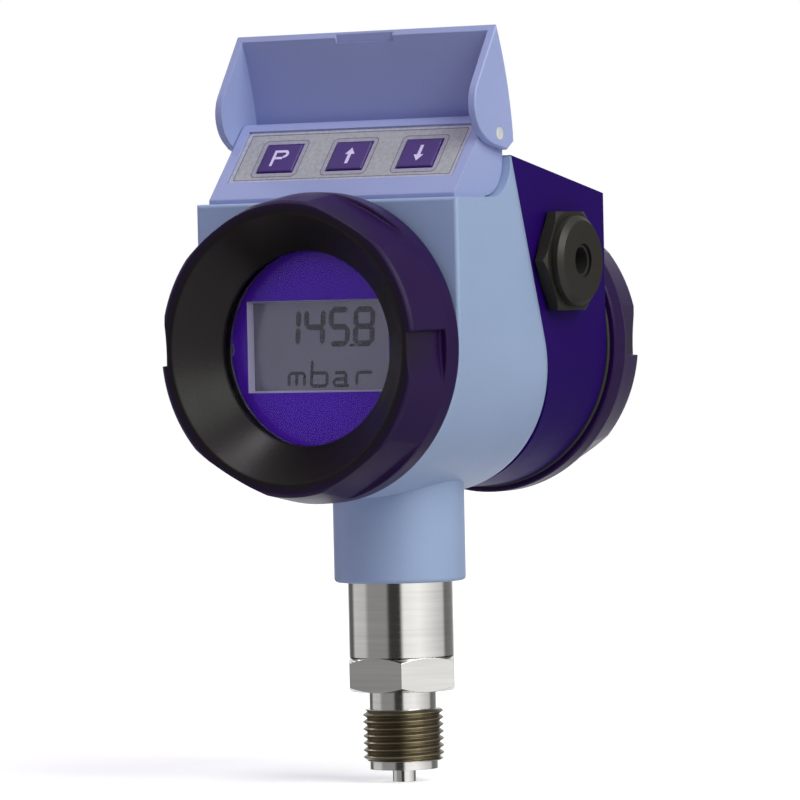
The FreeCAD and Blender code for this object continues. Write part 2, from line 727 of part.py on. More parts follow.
def flatted(radius, y0, y1):
    """Disc along Y with a flat below, over the stem, and one above, under the head screws."""
    disc = cyl(radius, y1 - y0, Vector(0, y0, AXIS_Z), Y_AXIS)
    return disc.common(box(-REACH, REACH, y0, y1, AXIS_Z - MODULE_FLAT, AXIS_Z + MODULE_FLAT))


def module_carrier():
    outer, depth = CAVITY_R - BEZEL_FIT, SHOULDER_Y - MODULE_Y
    cup = flatted(outer, MODULE_Y, SHOULDER_Y)
    hollow = cyl(outer - MODULE_WALL, depth - MODULE_WALL, Vector(0, MODULE_Y, AXIS_Z), Y_AXIS)
    inner = MODULE_FLAT - MODULE_WALL
    hollow = hollow.common(box(-REACH, REACH, -REACH, REACH, AXIS_Z - inner, AXIS_Z + inner))
    inside = cyl(outer, REACH, Vector(0, MODULE_Y, AXIS_Z), Y_AXIS)
    ears = [cyl(SCREW_M3_R + MODULE_WALL, depth, Vector(sx * DISPLAY_SCREW_X, MODULE_Y, AXIS_Z), Y_AXIS)
            .common(inside) for sx in (-1, 1)]
    foot = SHOULDER_Y - MODULE_WALL / 2
    posts = [cyl(MODULE_POST_R, MODULE_POST_L, Vector(0, foot, AXIS_Z + sz * MODULE_POST_X), -Y_AXIS)
             .common(hollow) for sz in (-1, 1)]
    cup = fuse(cup.cut(hollow), *ears, *posts)
    for sx in (-1, 1):
        cup = cup.cut(cyl(SCREW_M3_R + THREAD_GAP, SCREW_M3_HEAD_H + DISPLAY_SCREW_L + BEZEL_FIT,
                          Vector(sx * DISPLAY_SCREW_X, BEZEL_Y, AXIS_Z), Y_AXIS))
    return cup


def main_board():
    y1 = SHOULDER_Y - MODULE_WALL / 2 - MODULE_POST_L
    inner = MODULE_FLAT - MODULE_WALL - BEZEL_FIT
    radius = DISPLAY_SCREW_X - SCREW_M3_R - MODULE_WALL - BEZEL_FIT
    disc = cyl(radius, BOARD_T, Vector(0, y1, AXIS_Z), -Y_AXIS)
    disc = disc.common(box(-REACH, REACH, -REACH, REACH, AXIS_Z - inner, AXIS_Z + inner))
    parts = [box(x, x + w, y1 - BOARD_T - t, y1 - BOARD_T, AXIS_Z + z, AXIS_Z + z + h)
             for x, z, w, h, t in MAIN_BOARD_CHIPS]
    return fuse(disc, *parts)


# ---- terminal compartment
def terminal_carrier():
    zc = AXIS_Z - CARRIER_DROP
    plate = box(-CARRIER_W / 2, CARRIER_W / 2, POST_Y, POST_Y + CARRIER_T,
                zc - CARRIER_H / 2, zc + CARRIER_H / 2)
    plate = plate.common(cyl(CAVITY_R - CARRIER_T, REACH, Vector(0, 0, AXIS_Z), Y_AXIS))
    for sx in (-1, 1):
        plate = plate.cut(cyl(SCREW_M3_R + THREAD_GAP, REACH, Vector(sx * POST_X, 0, AXIS_Z), Y_AXIS))
    return plate


def carrier_screws():
    screw = capped_screw(SCREW_M3_R, DISPLAY_SCREW_L - CARRIER_T, SCREW_M3_HEAD_R, SCREW_M3_HEAD_H)
    screws = []
    for sx in (-1, 1):
        placed = facing_rear(screw, POST_Y + CARRIER_T)
        placed.translate(Vector(sx * POST_X, 0, 0))
        screws.append(placed)
    return Part.makeCompound(screws)


def terminal_x(i):
    return (i - (TERMINALS - 1) / 2) * TERMINAL_PITCH


def terminal_block():
    zc, y0 = AXIS_Z - CARRIER_DROP, POST_Y + CARRIER_T
    block = box(-BLOCK_W / 2, BLOCK_W / 2, y0, y0 + BLOCK_T, zc - BLOCK_H / 2, zc + BLOCK_H / 2)
    for i in range(TERMINALS):
        x = terminal_x(i)
        front, shank = Vector(x, y0 + BLOCK_T, zc), Vector(x, y0 + TERMINAL_HEAD_H, zc)
        block = block.cut(cyl(TERMINAL_HEAD_R + THREAD_GAP, BLOCK_T / 2, front, -Y_AXIS))
        block = block.cut(cyl(TERMINAL_SHANK_R + THREAD_GAP, BLOCK_T, shank, Y_AXIS))
        block = block.cut(cyl(TERMINAL_WIRE_R, TERMINAL_WIRE_L,
                              Vector(x, y0 + TERMINAL_WIRE_L, zc - BLOCK_H / 2), Z_AXIS))
    return block


def terminal_screws():
    zc, seat = AXIS_Z - CARRIER_DROP, POST_Y + CARRIER_T + BLOCK_T / 2
    screw = capped_screw(TERMINAL_SHANK_R, TERMINAL_HEAD_H, TERMINAL_HEAD_R, TERMINAL_HEAD_H)
    slot = box(-TERMINAL_HEAD_R, TERMINAL_HEAD_R, -TERMINAL_SLOT / 2, TERMINAL_SLOT / 2,
               TERMINAL_HEAD_H - TERMINAL_SLOT, TERMINAL_HEAD_H)
    screws = []
    for i in range(TERMINALS):
        placed = facing_rear(screw.cut(slot), seat)
        placed.translate(Vector(terminal_x(i), 0, zc - AXIS_Z))
        screws.append(placed)
    return Part.makeCompound(screws)


# ---- cable gland, drawn along local +Z from the housing's side face
GLAND_HEX_Z = GLAND_GASKET_T
GLAND_NUT_Z = GLAND_HEX_Z + GLAND_HEX_T


def gland(shape):
    return facing_right(shape, REAR_HALF_W, GLAND_Y, GLAND_Z)


def gland_gasket():
    outer, inner = GLAND_NUT_R + GLAND_GASKET_T / 2, GLAND_THREAD_R + 4 * THREAD_GAP
    return gland(ring(outer, inner, GLAND_GASKET_T, Vector(), Z_AXIS))


def gland_body():
    flange = chamfered_hexagon(GLAND_AF, GLAND_HEX_T, 90, GLAND_NUT_EDGE, False)
    flange.translate(Vector(0, 0, GLAND_HEX_Z))
    thread = cyl(GLAND_THREAD_R, GLAND_THREAD_L + GLAND_HEX_Z, Vector(0, 0, -GLAND_THREAD_L), Z_AXIS)
    neck = cyl(GLAND_NECK_R, GLAND_NECK_L, Vector(0, 0, GLAND_NUT_Z), Z_AXIS)
    bore = cyl(GLAND_BORE_R, REACH, Vector(0, 0, -GLAND_THREAD_L), Z_AXIS)
    return gland(fuse(flange, thread, neck).cut(bore))


def gland_seal():
    top = GLAND_NUT_Z + GLAND_NECK_L
    foot = Vector(0, 0, top - GLAND_SEAL_L)
    return gland(ring(GLAND_BORE_R - THREAD_GAP, GLAND_CABLE_R, GLAND_SEAL_L, foot, Z_AXIS))


def gland_nut():
    z0, z1 = GLAND_NUT_Z, GLAND_NUT_Z + GLAND_NUT_T
    bore, inner_z = GLAND_NECK_R + THREAD_GAP, z0 + GLAND_NECK_L
    return gland(lathe([(bore, z0), (GLAND_NUT_R, z0), (GLAND_NUT_R, z1 - GLAND_NUT_EDGE),
                        (GLAND_NUT_R - GLAND_NUT_EDGE, z1), (GLAND_MOUTH_R, z1),
                        (GLAND_MOUTH_R, inner_z), (bore, inner_z)]))


# ---- operating head
HEAD_BACK_Y = NOTCH_BACK_Y - HEAD_GAP
HEAD_CORNER = (HEAD_BACK_Y - NOTCH_R + HEAD_GAP, LEDGE_Z + NOTCH_R)
KEY_XS = (-KEY_PITCH, 0.0, KEY_PITCH)
FLANGE_TOP = -PANEL_T - KEY_REST_GAP
SWITCH_TOP = FLANGE_TOP - KEY_FLANGE_T - KEY_TRAVEL - 2 * KEY_REST_GAP
KEY_BOARD_TOP = SWITCH_TOP - SWITCH_H


def head_outline():
    """Lip, sloping panel, hinge barrel, upright back and round lower corner."""
    hinge = (HINGE_Y, HINGE_Z)
    radius = NOTCH_R - HEAD_GAP
    lip = yz(HEAD_FRONT_Y, panel_z(HEAD_FRONT_Y, 0))
    crown, back = about(hinge, BARREL_R, 90 + PANEL_TILT), about(hinge, BARREL_R, 0)
    corner_top = yz(HEAD_BACK_Y, HEAD_CORNER[1])
    edges = lines(yz(HEAD_CORNER[0], LEDGE_Z + HEAD_GAP), yz(HEAD_CORNER[0], LEDGE_Z),
                  yz(HEAD_FRONT_Y, LEDGE_Z), lip, crown)
    edges.append(arc(crown, about(hinge, BARREL_R, 45), back))
    edges += lines(back, yz(HEAD_BACK_Y, HEAD_CORNER[1] + HEAD_WALL), corner_top)
    edges.append(arc(corner_top, about(HEAD_CORNER, radius, -45), yz(HEAD_CORNER[0], LEDGE_Z + HEAD_GAP)))
    return edges


def head_cavity():
    front, back = HEAD_FRONT_Y + HEAD_WALL, HEAD_BACK_Y - HEAD_WALL
    knee, foot = lid_point(HEAD_KNEE, BARREL_R - PANEL_T), lid_point(HEAD_KNEE, -BARREL_R)
    inner_r = NOTCH_R - HEAD_GAP - HEAD_WALL
    below = LEDGE_Z - HEAD_WALL
    edges = lines(yz(HEAD_CORNER[0], below), yz(front, below), yz(front, panel_z(front, PANEL_T)),
                  knee, foot, yz(back, foot.z), yz(back, HEAD_CORNER[1]))
    edges.append(arc(yz(back, HEAD_CORNER[1]), about(HEAD_CORNER, inner_r, -45),
                     yz(HEAD_CORNER[0], HEAD_CORNER[1] - inner_r)))
    edges += lines(yz(HEAD_CORNER[0], HEAD_CORNER[1] - inner_r), yz(HEAD_CORNER[0], below))
    half = HEAD_HALF_W - HEAD_WALL
    return side_plate(edges, -half, half)


def key_posts(radius, top, length):
    half = KEY_BOARD_W / 2 - KEY_POST_INSET
    rise = KEY_BOARD_H / 2 - KEY_POST_INSET
    return [cyl(radius, length, Vector(sx * half, -KEY_BOARD_DROP + sy * rise, top), -Z_AXIS)
            for sx in (-1, 1) for sy in (-1, 1)]


def keypad_housing():
    block = side_plate(head_outline(), -HEAD_HALF_W, HEAD_HALF_W)
    lip = edges_where(block, lambda e, b: b.YMax < HEAD_FRONT_Y + 1e-3 and b.ZMin > LEDGE_Z + 1e-3)
    block = block.makeFillet(HEAD_EDGE_R, lip)
    head = block.cut(head_cavity())
    posts = [on_panel(p) for p in key_posts(KEY_POST_R, -PANEL_T / 2, -KEY_BOARD_TOP - PANEL_T / 2)]
    bosses = [cyl(HEAD_BOSS_R, HEAD_BOSS_TOP, Vector(sx * HEAD_SCREW_X, HEAD_SCREW_Y, LEDGE_Z), Z_AXIS)
              .common(block) for sx in (-1, 1)]
    webs = [box(sx * HEAD_SCREW_X - HEAD_WALL / 2, sx * HEAD_SCREW_X + HEAD_WALL / 2, HEAD_SCREW_Y,
                HEAD_BACK_Y, LEDGE_Z, LEDGE_Z + HEAD_BOSS_TOP).common(block) for sx in (-1, 1)]
    head = fuse(head, *posts, *bosses, *webs)
    recess = box(-PLATE_HALF_W, PLATE_HALF_W, -PLATE_TOP - PLATE_H, -PLATE_TOP,
                 -PLATE_SINK - PLATE_T, PANEL_T)
    head = head.cut(on_panel(recess))
    for x in KEY_XS:
        half_w, half_h = KEY_W / 2 + KEY_GAP, KEY_H / 2 + KEY_GAP
        hole = box(x - half_w, x + half_w, -KEY_DROP - half_h, -KEY_DROP + half_h, -1.5 * PANEL_T, PANEL_T)
        head = head.cut(on_panel(hole))
    for hole in key_posts(SCREW_M2_R + THREAD_GAP, -PANEL_T, REACH):
        head = head.cut(on_panel(hole))
    for sx in (-1, 1):
        foot = Vector(sx * HEAD_SCREW_X, HEAD_SCREW_Y, LEDGE_Z)
        pin = Vector(sx * HEAD_HALF_W, HINGE_Y, HINGE_Z)
        head = head.cut(cyl(SCREW_M3_R + THREAD_GAP, HEAD_BOSS_TOP - HEAD_BOSS_CAP, foot, Z_AXIS))
        head = head.cut(cyl(PIN_R + THREAD_GAP, PIN_L, pin, -sx * X_AXIS))
    return head


def keypad_plate():
    fit = GLASS_GAP / 2
    plate = box(-PLATE_HALF_W + fit, PLATE_HALF_W - fit, -PLATE_TOP - PLATE_H + fit, -PLATE_TOP - fit,
                -PLATE_SINK - PLATE_T, -PLATE_SINK)
    plate = plate.makeFillet(PLATE_CORNER_R, edges_where(plate, lambda e, b: b.ZLength > PLATE_T / 2))
    for x in KEY_XS:
        half_w, half_h = KEY_W / 2 + KEY_GAP, KEY_H / 2 + KEY_GAP
        plate = plate.cut(box(x - half_w, x + half_w, -KEY_DROP - half_h, -KEY_DROP + half_h,
                              -PANEL_T, PANEL_T))
    return on_panel(plate)


def key(x):
    cap = box(x - KEY_W / 2, x + KEY_W / 2, -KEY_DROP - KEY_H / 2, -KEY_DROP + KEY_H / 2,
              FLANGE_TOP - KEY_FLANGE_T, KEY_PROUD - PLATE_SINK)
    soft = edges_where(cap, lambda e, b: b.ZLength > KEY_EDGE or b.ZMin > -PLATE_SINK)
    cap = cap.makeFillet(KEY_EDGE, soft)
    half_w, half_h = KEY_W / 2 + KEY_FLANGE, KEY_H / 2 + KEY_FLANGE
    flange = box(x - half_w, x + half_w, -KEY_DROP - half_h, -KEY_DROP + half_h,
                 FLANGE_TOP - KEY_FLANGE_T, FLANGE_TOP)
    return on_panel(fuse(cap, flange))


def key_board():
    rise = KEY_BOARD_H / 2
    board = box(-KEY_BOARD_W / 2, KEY_BOARD_W / 2, -KEY_BOARD_DROP - rise, -KEY_BOARD_DROP + rise,
                KEY_BOARD_TOP - BOARD_T, KEY_BOARD_TOP)
    domes = [Part.makeCone(SWITCH_R, SWITCH_R / 2, SWITCH_H, Vector(x, -KEY_DROP, KEY_BOARD_TOP), Z_AXIS)
             for x in KEY_XS]
    board = fuse(board, *domes)
    for hole in key_posts(SCREW_M2_R + THREAD_GAP, 0, REACH):
        board = board.cut(hole)
    return on_panel(board)


def key_board_screws():
    under = KEY_BOARD_TOP - BOARD_T
    shanks = key_posts(SCREW_M2_R, KEY_BOARD_TOP + BOARD_T, 2 * BOARD_T)
    heads = key_posts(SCREW_M2_HEAD_R, under, SCREW_M2_HEAD_H)
    return Part.makeCompound([on_panel(fuse(s, h)) for s, h in zip(shanks, heads)])


def keypad_screws():
    screws = []
    for sx in (-1, 1):
        screw = capped_screw(SCREW_M3_R, HEAD_SCREW_L, SCREW_M3_HEAD_R, SCREW_M3_HEAD_H)
        screw.rotate(Vector(), X_AXIS, 180)
        screw.translate(Vector(sx * HEAD_SCREW_X, HEAD_SCREW_Y, AXIS_Z + HEAD_SCREW_SEAT))
        screws.append(screw)
    return Part.makeCompound(screws)


# ---- flip-up lid, drawn closed over the panel and then opened about its pins
def lid_point(down, out):
    """Point down the panel from the hinge and out from it, both measured from the hinge axis."""
    tilt = math.radians(PANEL_TILT)
    return yz(HINGE_Y - down * math.cos(tilt) - out * math.sin(tilt),
              HINGE_Z - down * math.sin(tilt) + out * math.cos(tilt))


def lid_outline():
    """Roof arc, heel behind the hinge, and the lower edge that rests just above the ledge."""
    back, front = lid_point(*LID_ROOF_BACK), lid_point(*LID_ROOF_FRONT)
    mid = lid_point(LID_ROOF_MID, LID_ROOF_RISE)
    corner = (LID_REAR_Y - LID_CORNER_R, LID_BOTTOM_Z + LID_CORNER_R)
    heel = [yz(y, z) for y, z in LID_HEEL]
    edges = [arc(front, mid, back)]
    edges += lines(back, *reversed(heel), yz(LID_REAR_Y, corner[1]))
    edges.append(arc(yz(LID_REAR_Y, corner[1]), about(corner, LID_CORNER_R, -45),
                     yz(corner[0], LID_BOTTOM_Z)))
    below = LID_BOTTOM_Z - LID_CORNER_R
    edges += lines(yz(corner[0], LID_BOTTOM_Z), yz(corner[0], below), yz(front.y, below), front)
    return edges


def lid_hollow():
    """Space under the roof, between the wings."""
    back = lid_point(LID_ROOF_BACK[0], LID_ROOF_BACK[1] - LID_ROOF_T)
    mid = lid_point(LID_ROOF_MID, LID_ROOF_RISE - LID_ROOF_T)
    front = lid_point(LID_ROOF_FRONT[0], LID_ROOF_FRONT[1] - LID_ROOF_T)
    behind = lid_point(-REACH / 3, LID_ROOF_BACK[1] - LID_ROOF_T)
    below = lid_point(-REACH / 3, -REACH / 3)
    edges = [arc(front, mid, back)]
    edges += lines(back, behind, below, lid_point(LID_ROOF_FRONT[0], -REACH / 3), front)
    half = LID_HALF_W - LID_WING_T
    return side_plate(edges, -half, half)


def thumb_grip():
    """Shallow finger recess inside the roof, along its free edge."""
    rim, roof = LID_ROOF_FRONT[0] - LID_ROOF_T, LID_ROOF_FRONT[1] - LID_ROOF_T + GRIP_CUT
    corners = [lid_point(rim - GRIP_H, 0), lid_point(rim, 0),
               lid_point(rim, roof), lid_point(rim - GRIP_H, roof)]
    return side_plate(lines(*corners, corners[0]), -GRIP_W / 2, GRIP_W / 2)


def flip_lid():
    lid = side_plate(lid_outline(), -LID_HALF_W, LID_HALF_W)
    lid = lid.cut(box(-REACH, REACH, -REACH, REACH, 0, LID_BOTTOM_Z))
    outlines = edges_where(lid, lambda e, b: b.XLength < 1e-3 and b.ZMax > LID_BOTTOM_Z + 1)
    lid = lid.makeFillet(LID_EDGE_R, outlines)
    lid = lid.cut(lid_hollow()).cut(thumb_grip())
    hinge = Vector(0, HINGE_Y, HINGE_Z)
    for side in (-X_AXIS, X_AXIS):
        seat = hinge + side * (LID_HALF_W - PIN_HEAD_T - PIN_GAP)
        lid = lid.cut(cyl(PIN_R + PIN_GAP, REACH, hinge, side))
        lid = lid.cut(cyl(PIN_HEAD_R + PIN_GAP, REACH, seat, side))
    lid.rotate(hinge, X_AXIS, -LID_OPEN)
    return lid


def hinge_pins():
    hinge, pins = Vector(0, HINGE_Y, HINGE_Z), []
    for side in (-X_AXIS, X_AXIS):
        inner_end, seat = HEAD_HALF_W - PIN_L + PIN_GAP, LID_HALF_W - PIN_HEAD_T
        shank = cyl(PIN_R, LID_HALF_W - inner_end, hinge + side * inner_end, side)
        pins.append(fuse(shank, cyl(PIN_HEAD_R, PIN_HEAD_T, hinge + side * seat, side)))
    return Part.makeCompound(pins)


NODES = {
    "process_connection": process_connection(),
    "sensor_tube": sensor_tube(),
    "swivel_oring": swivel_oring(),
    "swivel_circlip": swivel_circlip(),
    "cell_seal": cell_seal(),
    "sensor_cell": sensor_cell(),
    "cell_clamp": cell_clamp(),
    "sensor_board": sensor_board(),
    "sensor_lead": sensor_lead(),
    "front_housing": front_housing(),
    "rear_housing": rear_housing(),
    "housing_gasket": housing_gasket(),
    "housing_screws": housing_screws(),
    "feedthrough": feedthrough(),
    "front_cover": front_cover(),
    "front_cover_oring": cover_oring(facing_front, FRONT_FACE_Y, -1),
    "window_gasket": window_gasket(),
    "window_glass": window_glass(),
    "window_ring": window_ring(),
    "rear_cover": rear_cover(),
    "rear_cover_oring": cover_oring(facing_rear, REAR_FACE_Y, 1),
    "display_bezel": display_bezel(),
    "lcd_panel": lcd_panel(),
    "display_board": display_board(),
    "display_screws": display_screws(),
    "module_carrier": module_carrier(),
    "main_board": main_board(),
    "terminal_carrier": terminal_carrier(),
    "carrier_screws": carrier_screws(),
    "terminal_block": terminal_block(),
    "terminal_screws": terminal_screws(),
    "gland_gasket": gland_gasket(),
    "gland_body": gland_body(),
    "gland_seal": gland_seal(),
    "gland_nut": gland_nut(),
    "keypad_housing": keypad_housing(),
    "keypad_plate": keypad_plate(),
    "key_program": key(KEY_XS[0]),
    "key_up": key(KEY_XS[1]),
    "key_down": key(KEY_XS[2]),
    "key_board": key_board(),
    "key_board_screws": key_board_screws(),
    "keypad_screws": keypad_screws(),
    "flip_lid": flip_lid(),
    "hinge_pins": hinge_pins(),
}

for name, shape in NODES.items():
    if not shape.isValid():
        raise ValueError(name + " is not valid")
    shape.exportStep("parts/" + name + ".step")
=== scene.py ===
"""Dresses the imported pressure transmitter: paint, steel, plastics and glass for every piece, the
helical pipe thread, the liquid-crystal reading and the key markings. Metres, +Z up."""
import json
import math

import bmesh
import bpy
from mathutils import Matrix, Vector


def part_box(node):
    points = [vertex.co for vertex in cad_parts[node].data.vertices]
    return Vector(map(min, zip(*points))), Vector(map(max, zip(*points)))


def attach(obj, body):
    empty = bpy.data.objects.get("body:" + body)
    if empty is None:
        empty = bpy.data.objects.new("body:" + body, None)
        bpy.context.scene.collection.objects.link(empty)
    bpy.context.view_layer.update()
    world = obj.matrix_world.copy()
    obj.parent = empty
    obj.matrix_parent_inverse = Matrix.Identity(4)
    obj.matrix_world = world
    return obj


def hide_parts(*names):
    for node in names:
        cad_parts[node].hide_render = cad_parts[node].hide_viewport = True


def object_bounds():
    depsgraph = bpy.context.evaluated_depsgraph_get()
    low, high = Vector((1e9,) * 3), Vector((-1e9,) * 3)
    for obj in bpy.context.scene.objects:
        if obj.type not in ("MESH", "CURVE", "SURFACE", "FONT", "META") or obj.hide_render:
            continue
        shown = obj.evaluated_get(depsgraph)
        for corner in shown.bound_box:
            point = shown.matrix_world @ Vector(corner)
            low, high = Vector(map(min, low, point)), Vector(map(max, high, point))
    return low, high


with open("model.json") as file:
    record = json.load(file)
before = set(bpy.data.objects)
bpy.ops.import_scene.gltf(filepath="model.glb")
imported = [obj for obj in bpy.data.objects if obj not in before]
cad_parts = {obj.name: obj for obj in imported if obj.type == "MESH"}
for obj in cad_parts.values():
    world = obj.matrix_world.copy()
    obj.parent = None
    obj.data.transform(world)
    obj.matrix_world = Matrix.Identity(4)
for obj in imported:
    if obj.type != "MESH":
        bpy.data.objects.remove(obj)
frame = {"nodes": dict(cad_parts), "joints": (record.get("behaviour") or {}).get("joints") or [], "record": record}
NODES, RECORD = frame["nodes"], frame["record"]
CAD_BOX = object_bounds()
MM = 0.001

# ---- sizes that the frame doesn't state
THREAD_PITCH = 1.814 * MM
THREAD_DEPTH = 1.162 * MM
THREAD_RUN_OUT = 0.9 * MM - 0.1 * THREAD_DEPTH
THREAD_FLANK = 0.75
THREAD_SLICES = 144
THREAD_ROWS_PER_PITCH = 20
HEX_FLATS = 27.0 * MM
HEX_HEIGHT = 8.9 * MM
HEX_EDGE = 2.2 * MM
UNDERCUT_R = 8.65 * MM
UNDERCUT_L = 4.65 * MM
LAND_R = 8.8 * MM
LAND_L = 2.1 * MM
SPIGOT_R = 3.0 * MM
SPIGOT_L = 3.35 * MM
PORT_R = 1.5 * MM
WELD = 0.001 * MM
BOSS_R = 10.97 * MM
BOSS_H = 5.1 * MM

PANEL_TILT = math.radians(48.3)
PANEL_UP = Vector((0, math.cos(PANEL_TILT), math.sin(PANEL_TILT)))
PANEL_OUT = Vector((0, -math.sin(PANEL_TILT), math.cos(PANEL_TILT)))
BARREL_R = 4.65 * MM
PLATE_SINK = 0.5 * MM
KEY_W = 10.6 * MM
KEY_H = 9.6 * MM
KEY_PROUD = 0.3 * MM
PRINT_T = 0.02 * MM
PRINT_LIFT = 0.002 * MM
CORNER_STEPS = 6
# radius of a cover's face; inside it the paint is darkened as painted shade
COVER_FACE_R = 36.5 * MM
# printed bands: growth of the outer edge beyond the foil or key, band width and corner radius
PLATE_BANDS = (("plate_edge", -0.15 * MM, 1.0 * MM, 0.6 * MM),
               ("plate_line", -1.15 * MM, 0.28 * MM, 0.6 * MM))
KEY_BANDS = (("key_halos", 1.35 * MM, 1.1 * MM, 1.3 * MM),
             ("key_lines", 1.6 * MM, 0.25 * MM, 1.5 * MM))
BAND_CORNER_MIN = 0.05 * MM
MARK_H = 2.7 * MM
MARK_STROKE = 0.8 * MM
BOWL_HALF_W = 1.45 * MM
BOWL_START = 0.55
SHAFT_HALF_W = 0.48 * MM
BARB_HALF_W = 1.4 * MM
BARB_START = 0.2

DISPLAY_LIP_MARGIN = 1.4 * MM
DISPLAY_LIP_W = 0.5 * MM
DISPLAY_LIP_SINK = 0.3 * MM
DISPLAY_LIP_EDGE = 0.2 * MM
READING_INSET = 5.6 * MM
DIGITS_FOOT = 89.9 * MM
UNIT_FOOT = 79.3 * MM
DIGIT_H = 8.6 * MM
DIGIT_W = 4.9 * MM
DIGIT_PITCH = 7.3 * MM
DIGIT_STROKE = 1.5 * MM
UNIT_H = 6.6 * MM
UNIT_W = 4.6 * MM
UNIT_PITCH = 6.7 * MM
UNIT_SHIFT = 2.0 * MM
UNIT_STROKE = 0.9 * MM
SLANT = math.tan(math.radians(4))
READING = "1458"
READING_POINT = 3
UNIT = "mbar"

# ---- viewpoint and studio
CAMERA_AZIMUTH = math.radians(30.7)
CAMERA_DISTANCE = 1.55
CAMERA_AIM = Vector((0.00032, 0.00133, 0.07491))
CAMERA_RISE = 0.02029
CAMERA_ROLL = math.radians(1.24)
CAMERA_LENS = 270.0
CAMERA_SENSOR = 36.0
CAMERA_REACH = 20.0
FLOOR_HALF = 3.0
FLOOR_GAP = 0.05 * MM
# the floor's glow for the camera: its strengths, and the distances between which it grows
FLOOR_GLOW = (0.55, 1.0)
FLOOR_GLOW_REACH = (0.1, 0.35)
COOL = (0.76, 0.66, 1.0)
# name, azimuth and elevation in degrees, distance, size, power, colour, seen in reflections
LAMPS = (("key_light", 74, 36, 1.3, 0.9, 13.5, (0.97, 1.05, 0.92), True),
         ("front_fill", -20, 15, 1.6, 1.2, 2.2, COOL, False),
         ("top_light", 8, 74, 1.3, 0.25, 3.5, (1.0, 0.97, 1.0), True),
         ("rim_light", -106, 36, 1.3, 0.3, 3.0, (1.0, 0.97, 1.0), True))
AMBIENT = 0.14
# brightness that gloss sees straight overhead
CEILING = 1.2
# heights of view between which the surroundings give way to the ceiling
OVERHEAD = (0.55, 0.9)
# what gloss and metal reflect all round: degrees from the display towards the gland, and brightness
SURROUNDINGS = ((-180, 0.3), (-165, 1.0), (-135, 1.0), (-122, 0.15), (-102, 0.15), (-92, 0.8),
                (-56, 0.75), (-46, 0.38), (-2, 0.38), (5, 0.06), (28, 0.05), (36, 1.3), (70, 1.45),
                (115, 0.95), (134, 0.8), (143, 0.2), (180, 0.3))


# ---- shader helpers
def node(tree, kind, inputs=None, **settings):
    """Adds a shader node; each input is a plain value or the socket that feeds it."""
    made = tree.nodes.new(kind)
    for name, value in settings.items():
        setattr(made, name, value)
    for name, value in (inputs or {}).items():
        if isinstance(value, bpy.types.NodeSocket):
            tree.links.new(value, made.inputs[name])
        else:
            made.inputs[name].default_value = value
    return made


def blank_material(name):
    made = bpy.data.materials.new(name)
    made.use_nodes = True
    made.node_tree.nodes.clear()
    return made


def output(tree, shader):
    node(tree, "ShaderNodeOutputMaterial", {"Surface": shader})


def maths(tree, operation, *inputs):
    return node(tree, "ShaderNodeMath", dict(enumerate(inputs)), operation=operation).outputs[0]


def vector_maths(tree, operation, *inputs, result="Vector"):
    made = node(tree, "ShaderNodeVectorMath", dict(enumerate(inputs)), operation=operation)
    return made.outputs[result]


def place(tree, stretch=(1, 1, 1)):
    """Coordinates on the piece in metres, stretched along each axis."""
    where = node(tree, "ShaderNodeTexCoord").outputs["Object"]
    return vector_maths(tree, "MULTIPLY", where, stretch)


def noise(tree, where, scale, detail=2.0, roughness=0.5):
    settings = {"Vector": where, "Scale": scale, "Detail": detail, "Roughness": roughness}
    return node(tree, "ShaderNodeTexNoise", settings).outputs["Fac"]


def between(tree, factor, low, high, start=0.3, stop=0.7):
    """A number that goes from low to high as the factor goes from start to stop."""
    settings = {"Value": factor, "From Min": start, "From Max": stop, "To Min": low, "To Max": high}
    return node(tree, "ShaderNodeMapRange", settings).outputs["Result"]


def mixed(tree, factor, first, second):
    """Blend of two colours, which are sockets 6 and 7 of the mix node."""
    made = node(tree, "ShaderNodeMix", {"Factor": factor}, data_type="RGBA")
    for index, colour in ((6, first), (7, second)):
        if isinstance(colour, bpy.types.NodeSocket):
            tree.links.new(colour, made.inputs[index])
        else:
            made.inputs[index].default_value = (*colour, 1)
    return made.outputs[2]


def bumped(tree, height, distance, strength=1.0, edge=0.0):
    """Bump from a height in 0..1, over edges that look rounded to the given radius."""
    inputs = {"Height": height, "Distance": distance, "Strength": strength}
    if edge:
        bevel = node(tree, "ShaderNodeBevel", {"Radius": edge}, samples=6)
        inputs["Normal"] = bevel.outputs["Normal"]
    return node(tree, "ShaderNodeBump", inputs).outputs["Normal"]


def scaled(colour, factor):
    return tuple(min(1.0, c * factor) for c in colour)


# ---- materials
def off_axis(tree):
    """Distance from the axis of the two screw covers."""
    low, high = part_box("front_cover")
    axis = ((low[0] + high[0]) / 2, 0.0, (low[2] + high[2]) / 2)
    where = vector_maths(tree, "SUBTRACT", place(tree), axis)
    flat = vector_maths(tree, "MULTIPLY", where, (1, 0, 1))
    return vector_maths(tree, "LENGTH", flat, result="Value")


